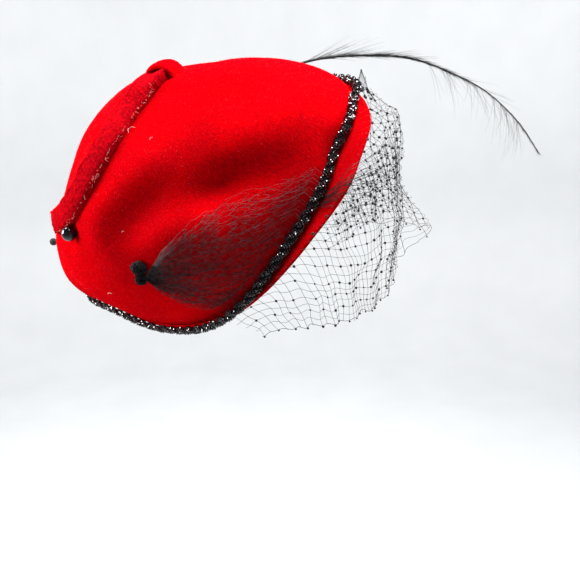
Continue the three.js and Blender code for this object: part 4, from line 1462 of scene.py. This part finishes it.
def peak_threads():
    """The threads that run up to the peak's tip from the net all round it, and the dots on them."""
    tip, (broad_x, broad_y) = np.array(PEAK["at"]), PEAK["broad"]
    angle = all_round(PEAK["threads"])
    ring = np.stack([broad_x * np.cos(angle), broad_y * np.sin(angle), 0 * angle - PEAK["tall"]], -1)
    away = np.linalg.norm(veil_grid[:, :, None] - (tip + ring), axis=-1)
    nearest = np.unravel_index(away.reshape(-1, len(ring)).argmin(0), veil_grid.shape[:2])
    on_net = net_at(nearest[0] / (FINE_COLUMNS - 1), nearest[1] / (FINE_ROWS - 1), LAYERS[0])
    feet = on_net * 0.4 + (tip + ring) * 0.6
    step = np.linspace(0, 1, 24)[:, None]
    paths = tip + (feet[:, None] - tip) * step - (feet - tip - ring)[:, None] * step * (1 - step)
    hoop = tip + (closed(feet) - tip) * 0.62
    threads = joined(tubes(paths, NET_THREAD * 0.85), tubes(hoop[None], NET_THREAD * 0.85))
    return threads, np.concatenate([paths[:1, 0], paths[::2, 14], paths[:, 23]])


def dots_at(places):
    """Chenille dots at places, each turned and sized at random."""
    rng = np.random.default_rng(66)
    frames = np.linalg.qr(rng.normal(size=(len(places), 3, 3)))[0]
    return copies(*ball(5, 6), places, frames, NET_DOT * rng.uniform(0.75, 1.25, len(places)))


def veil_net(columns):
    """The whole net of the veil, layer by layer."""
    peak, peak_dots = peak_threads()
    parts, dots = [*net_bundle(), peak], [peak_dots]
    for layer in LAYERS:
        mine = columns[(columns >= layer["from"]) & (columns <= layer["to"])]
        parts.append(net_columns(layer, mine, np.random.default_rng(layer["seed"])))
        longest = (depth_at(mine) * reach_of(layer, mine)).max()
        for row in range(int(longest / NET_CELL) + 1):
            parts += net_row(layer, row, mine)
            dots.append(net_dots(layer, row, mine))
    points, faces = joined(*parts, dots_at(np.concatenate(dots)))
    return peaked(points), faces


veil_columns, cloth_width = column_shares()
veil = piece("dotted_veil", *veil_net(veil_columns), THREAD, "net", ["veil"])

# ---------------- feather
SHAFT_POINTS = 140
SHAFT_ROOT = 1.05  # radius
SHAFT_TIP = 0.22
# Barbs by stretches of the shaft: how many, on which side of it (0 for both), their angle off the
# shaft, their length and how far they curl.
STRETCHES = table(
    "from to count side angle length curl",
    (0.06, 0.20, 26, 1, 13, 40, -0.10),
    (0.12, 0.42, 60, 1, 9, 28, -0.05),
    (0.08, 0.46, 320, 0, 6, 17, 0.0),
    (0.10, 0.30, 14, -1, 8, 30, 0.05),
    (0.40, 0.62, 110, 0, 9, 14, 0.0),
    (0.48, 0.86, 58, -1, 34, 38, 0.25),
    (0.58, 0.74, 6, 1, 26, 27, -0.15),
    (0.50, 0.98, 190, -1, 17, 7, 0.05),
    (0.78, 1.00, 130, 0, 10, 5, 0.0),
)
BARB_POINTS = 7
BARB_RADIUS = 0.10
SIDEWAYS = np.array([1.0, 0.0, 0.0])

shaft = smooth_curve([FEATHER], SHAFT_POINTS)[0]


def feather_shaft():
    share = np.linspace(0, 1, SHAFT_POINTS)
    radii = SHAFT_ROOT + (SHAFT_TIP - SHAFT_ROOT) * share**0.6
    return tubes(shaft[None], radii[None], 10, tips=True)


def feather_barbs():
    """Loose barbs, each bending as it leaves the shaft."""
    parts = []
    ways = unit(np.gradient(shaft, axis=0))
    steps = np.linspace(0, 1, BARB_POINTS)[None, :, None]
    for number, row in enumerate(STRETCHES):
        rng = np.random.default_rng(70 + number)
        count = row["count"]
        at = rng.uniform(row["from"], row["to"], count) * (SHAFT_POINTS - 1)
        low = np.minimum(at.astype(int), SHAFT_POINTS - 2)
        part = (at - low)[:, None]
        roots = shaft[low] * (1 - part) + shaft[low + 1] * part
        way = unit(ways[low] * (1 - part) + ways[low + 1] * part)
        above = unit(np.cross(SIDEWAYS, way))
        above = above * np.sign(above[:, 2:3])
        side = row["side"] or np.where(rng.random(count) < 0.5, 1, -1)[:, None]
        leaving = unit(swung(above * side, SIDEWAYS, rng.normal(0, 0.38, count)))
        angle = np.radians(row["angle"]) * rng.uniform(0.55, 1.45, count)[:, None]
        length = row["length"] * rng.uniform(0.5, 1.15, count)[:, None]
        bent = angle[:, None] * (1 + row["curl"] * 2 * steps)
        run = way[:, None] * np.cos(bent) + leaving[:, None] * np.sin(bent)
        paths = roots[:, None] + (np.cumsum(run, 1) - run[:, :1]) * (length / BARB_POINTS)[:, None]
        droop = steps**2 * length[:, None] * 0.04 * rng.normal(0, 1, (count, 1, 1))
        radii = BARB_RADIUS * (1 - 0.75 * steps[..., 0]) * rng.uniform(0.7, 1.2, (count, 1))
        parts.append(tubes(paths + SIDEWAYS * droop, radii))
    return joined(*parts)


piece("feather_shaft", *feather_shaft(), BARBS, "feather", ["feather_quill"])
piece("feather_barbs", *feather_barbs(), BARBS, "feather", ["feather_vane"])

# ---------------- lights, floor, backdrop
LIGHTS = table(
    "name at towards size power",
    ("above", (-0.14, -0.14, 0.78), (0, 0, 0), 0.5, 17),
    ("back", (0.2, 1.05, 0.24), (0, 0, 0), 0.6, 23),
    ("front", (-0.02, -1.2, 0.45), (0, 0, 0), 0.7, 13),
    ("wash_left", (0.9, 0.9, 1.55), (2.2, 0.9, -0.9), 1.0, 57),
    ("wash_right", (0.9, -0.9, 1.55), (2.2, -0.9, -0.9), 1.0, 57),
)
WORLD_COLOUR = (0.95, 0.97, 1.0, 1)
WORLD_STRENGTH = 0.045
# The stage is a round floor that bends up into a wall.
FLOOR_Z = -0.9
STAGE_RADIUS = 2.3
STAGE_BEND = 0.8
STAGE_HEIGHT = 2.6
STAGE_SIDES = 96
STAGE_STEPS = 8  # of the floor, and of its bend


def area_light(name, at, towards, size, power):
    """A round soft light."""
    data = bpy.data.lights.new(name, "AREA")
    data.shape = "DISK"
    data.size = size
    data.energy = power
    light = bpy.data.objects.new(name, data)
    light.location = at
    light.rotation_euler = (Vector(towards) - Vector(at)).to_track_quat("-Z", "Y").to_euler()
    bpy.context.scene.collection.objects.link(light)


def pale_world():
    world = bpy.data.worlds.new("studio")
    world.use_nodes = True
    sky = world.node_tree.nodes["Background"]
    sky.inputs["Color"].default_value = WORLD_COLOUR
    sky.inputs["Strength"].default_value = WORLD_STRENGTH
    bpy.context.scene.world = world
    bpy.context.scene.view_settings.view_transform = "Standard"


def floor_material():
    m = Nodes("pale_floor")
    shade = m.mix(m.noise(m.where(), 6, 2), (0.50, 0.51, 0.52), (0.56, 0.57, 0.58))
    m.put(m.shader, Base_Color=shade, Roughness=0.6)
    return m.material


def stage():
    """The floor and the backdrop in one."""
    profile = [(STAGE_RADIUS * k / STAGE_STEPS, 0.0) for k in range(STAGE_STEPS + 1)]
    profile += [
        (STAGE_RADIUS + STAGE_BEND * math.sin(a), STAGE_BEND * (1 - math.cos(a)))
        for a in np.linspace(0, math.pi / 2, STAGE_STEPS + 1)[1:]
    ]
    profile += [(STAGE_RADIUS + STAGE_BEND, STAGE_HEIGHT), (0, STAGE_HEIGHT)]
    points, (wall, middle, _lid) = lathe(profile, STAGE_SIDES)
    floor = bpy.data.meshes.new("floor")
    faces = [*wall[:, ::-1].tolist(), *middle[:, ::-1].tolist()]
    floor.from_pydata((points[:-1] + [0, 0, FLOOR_Z]).tolist(), [], faces)
    floor.materials.append(floor_material())
    floor.shade_smooth()
    made = bpy.data.objects.new("floor", floor)
    bpy.context.scene.collection.objects.link(made)


for light in LIGHTS:
    area_light(**light)
pale_world()
stage()
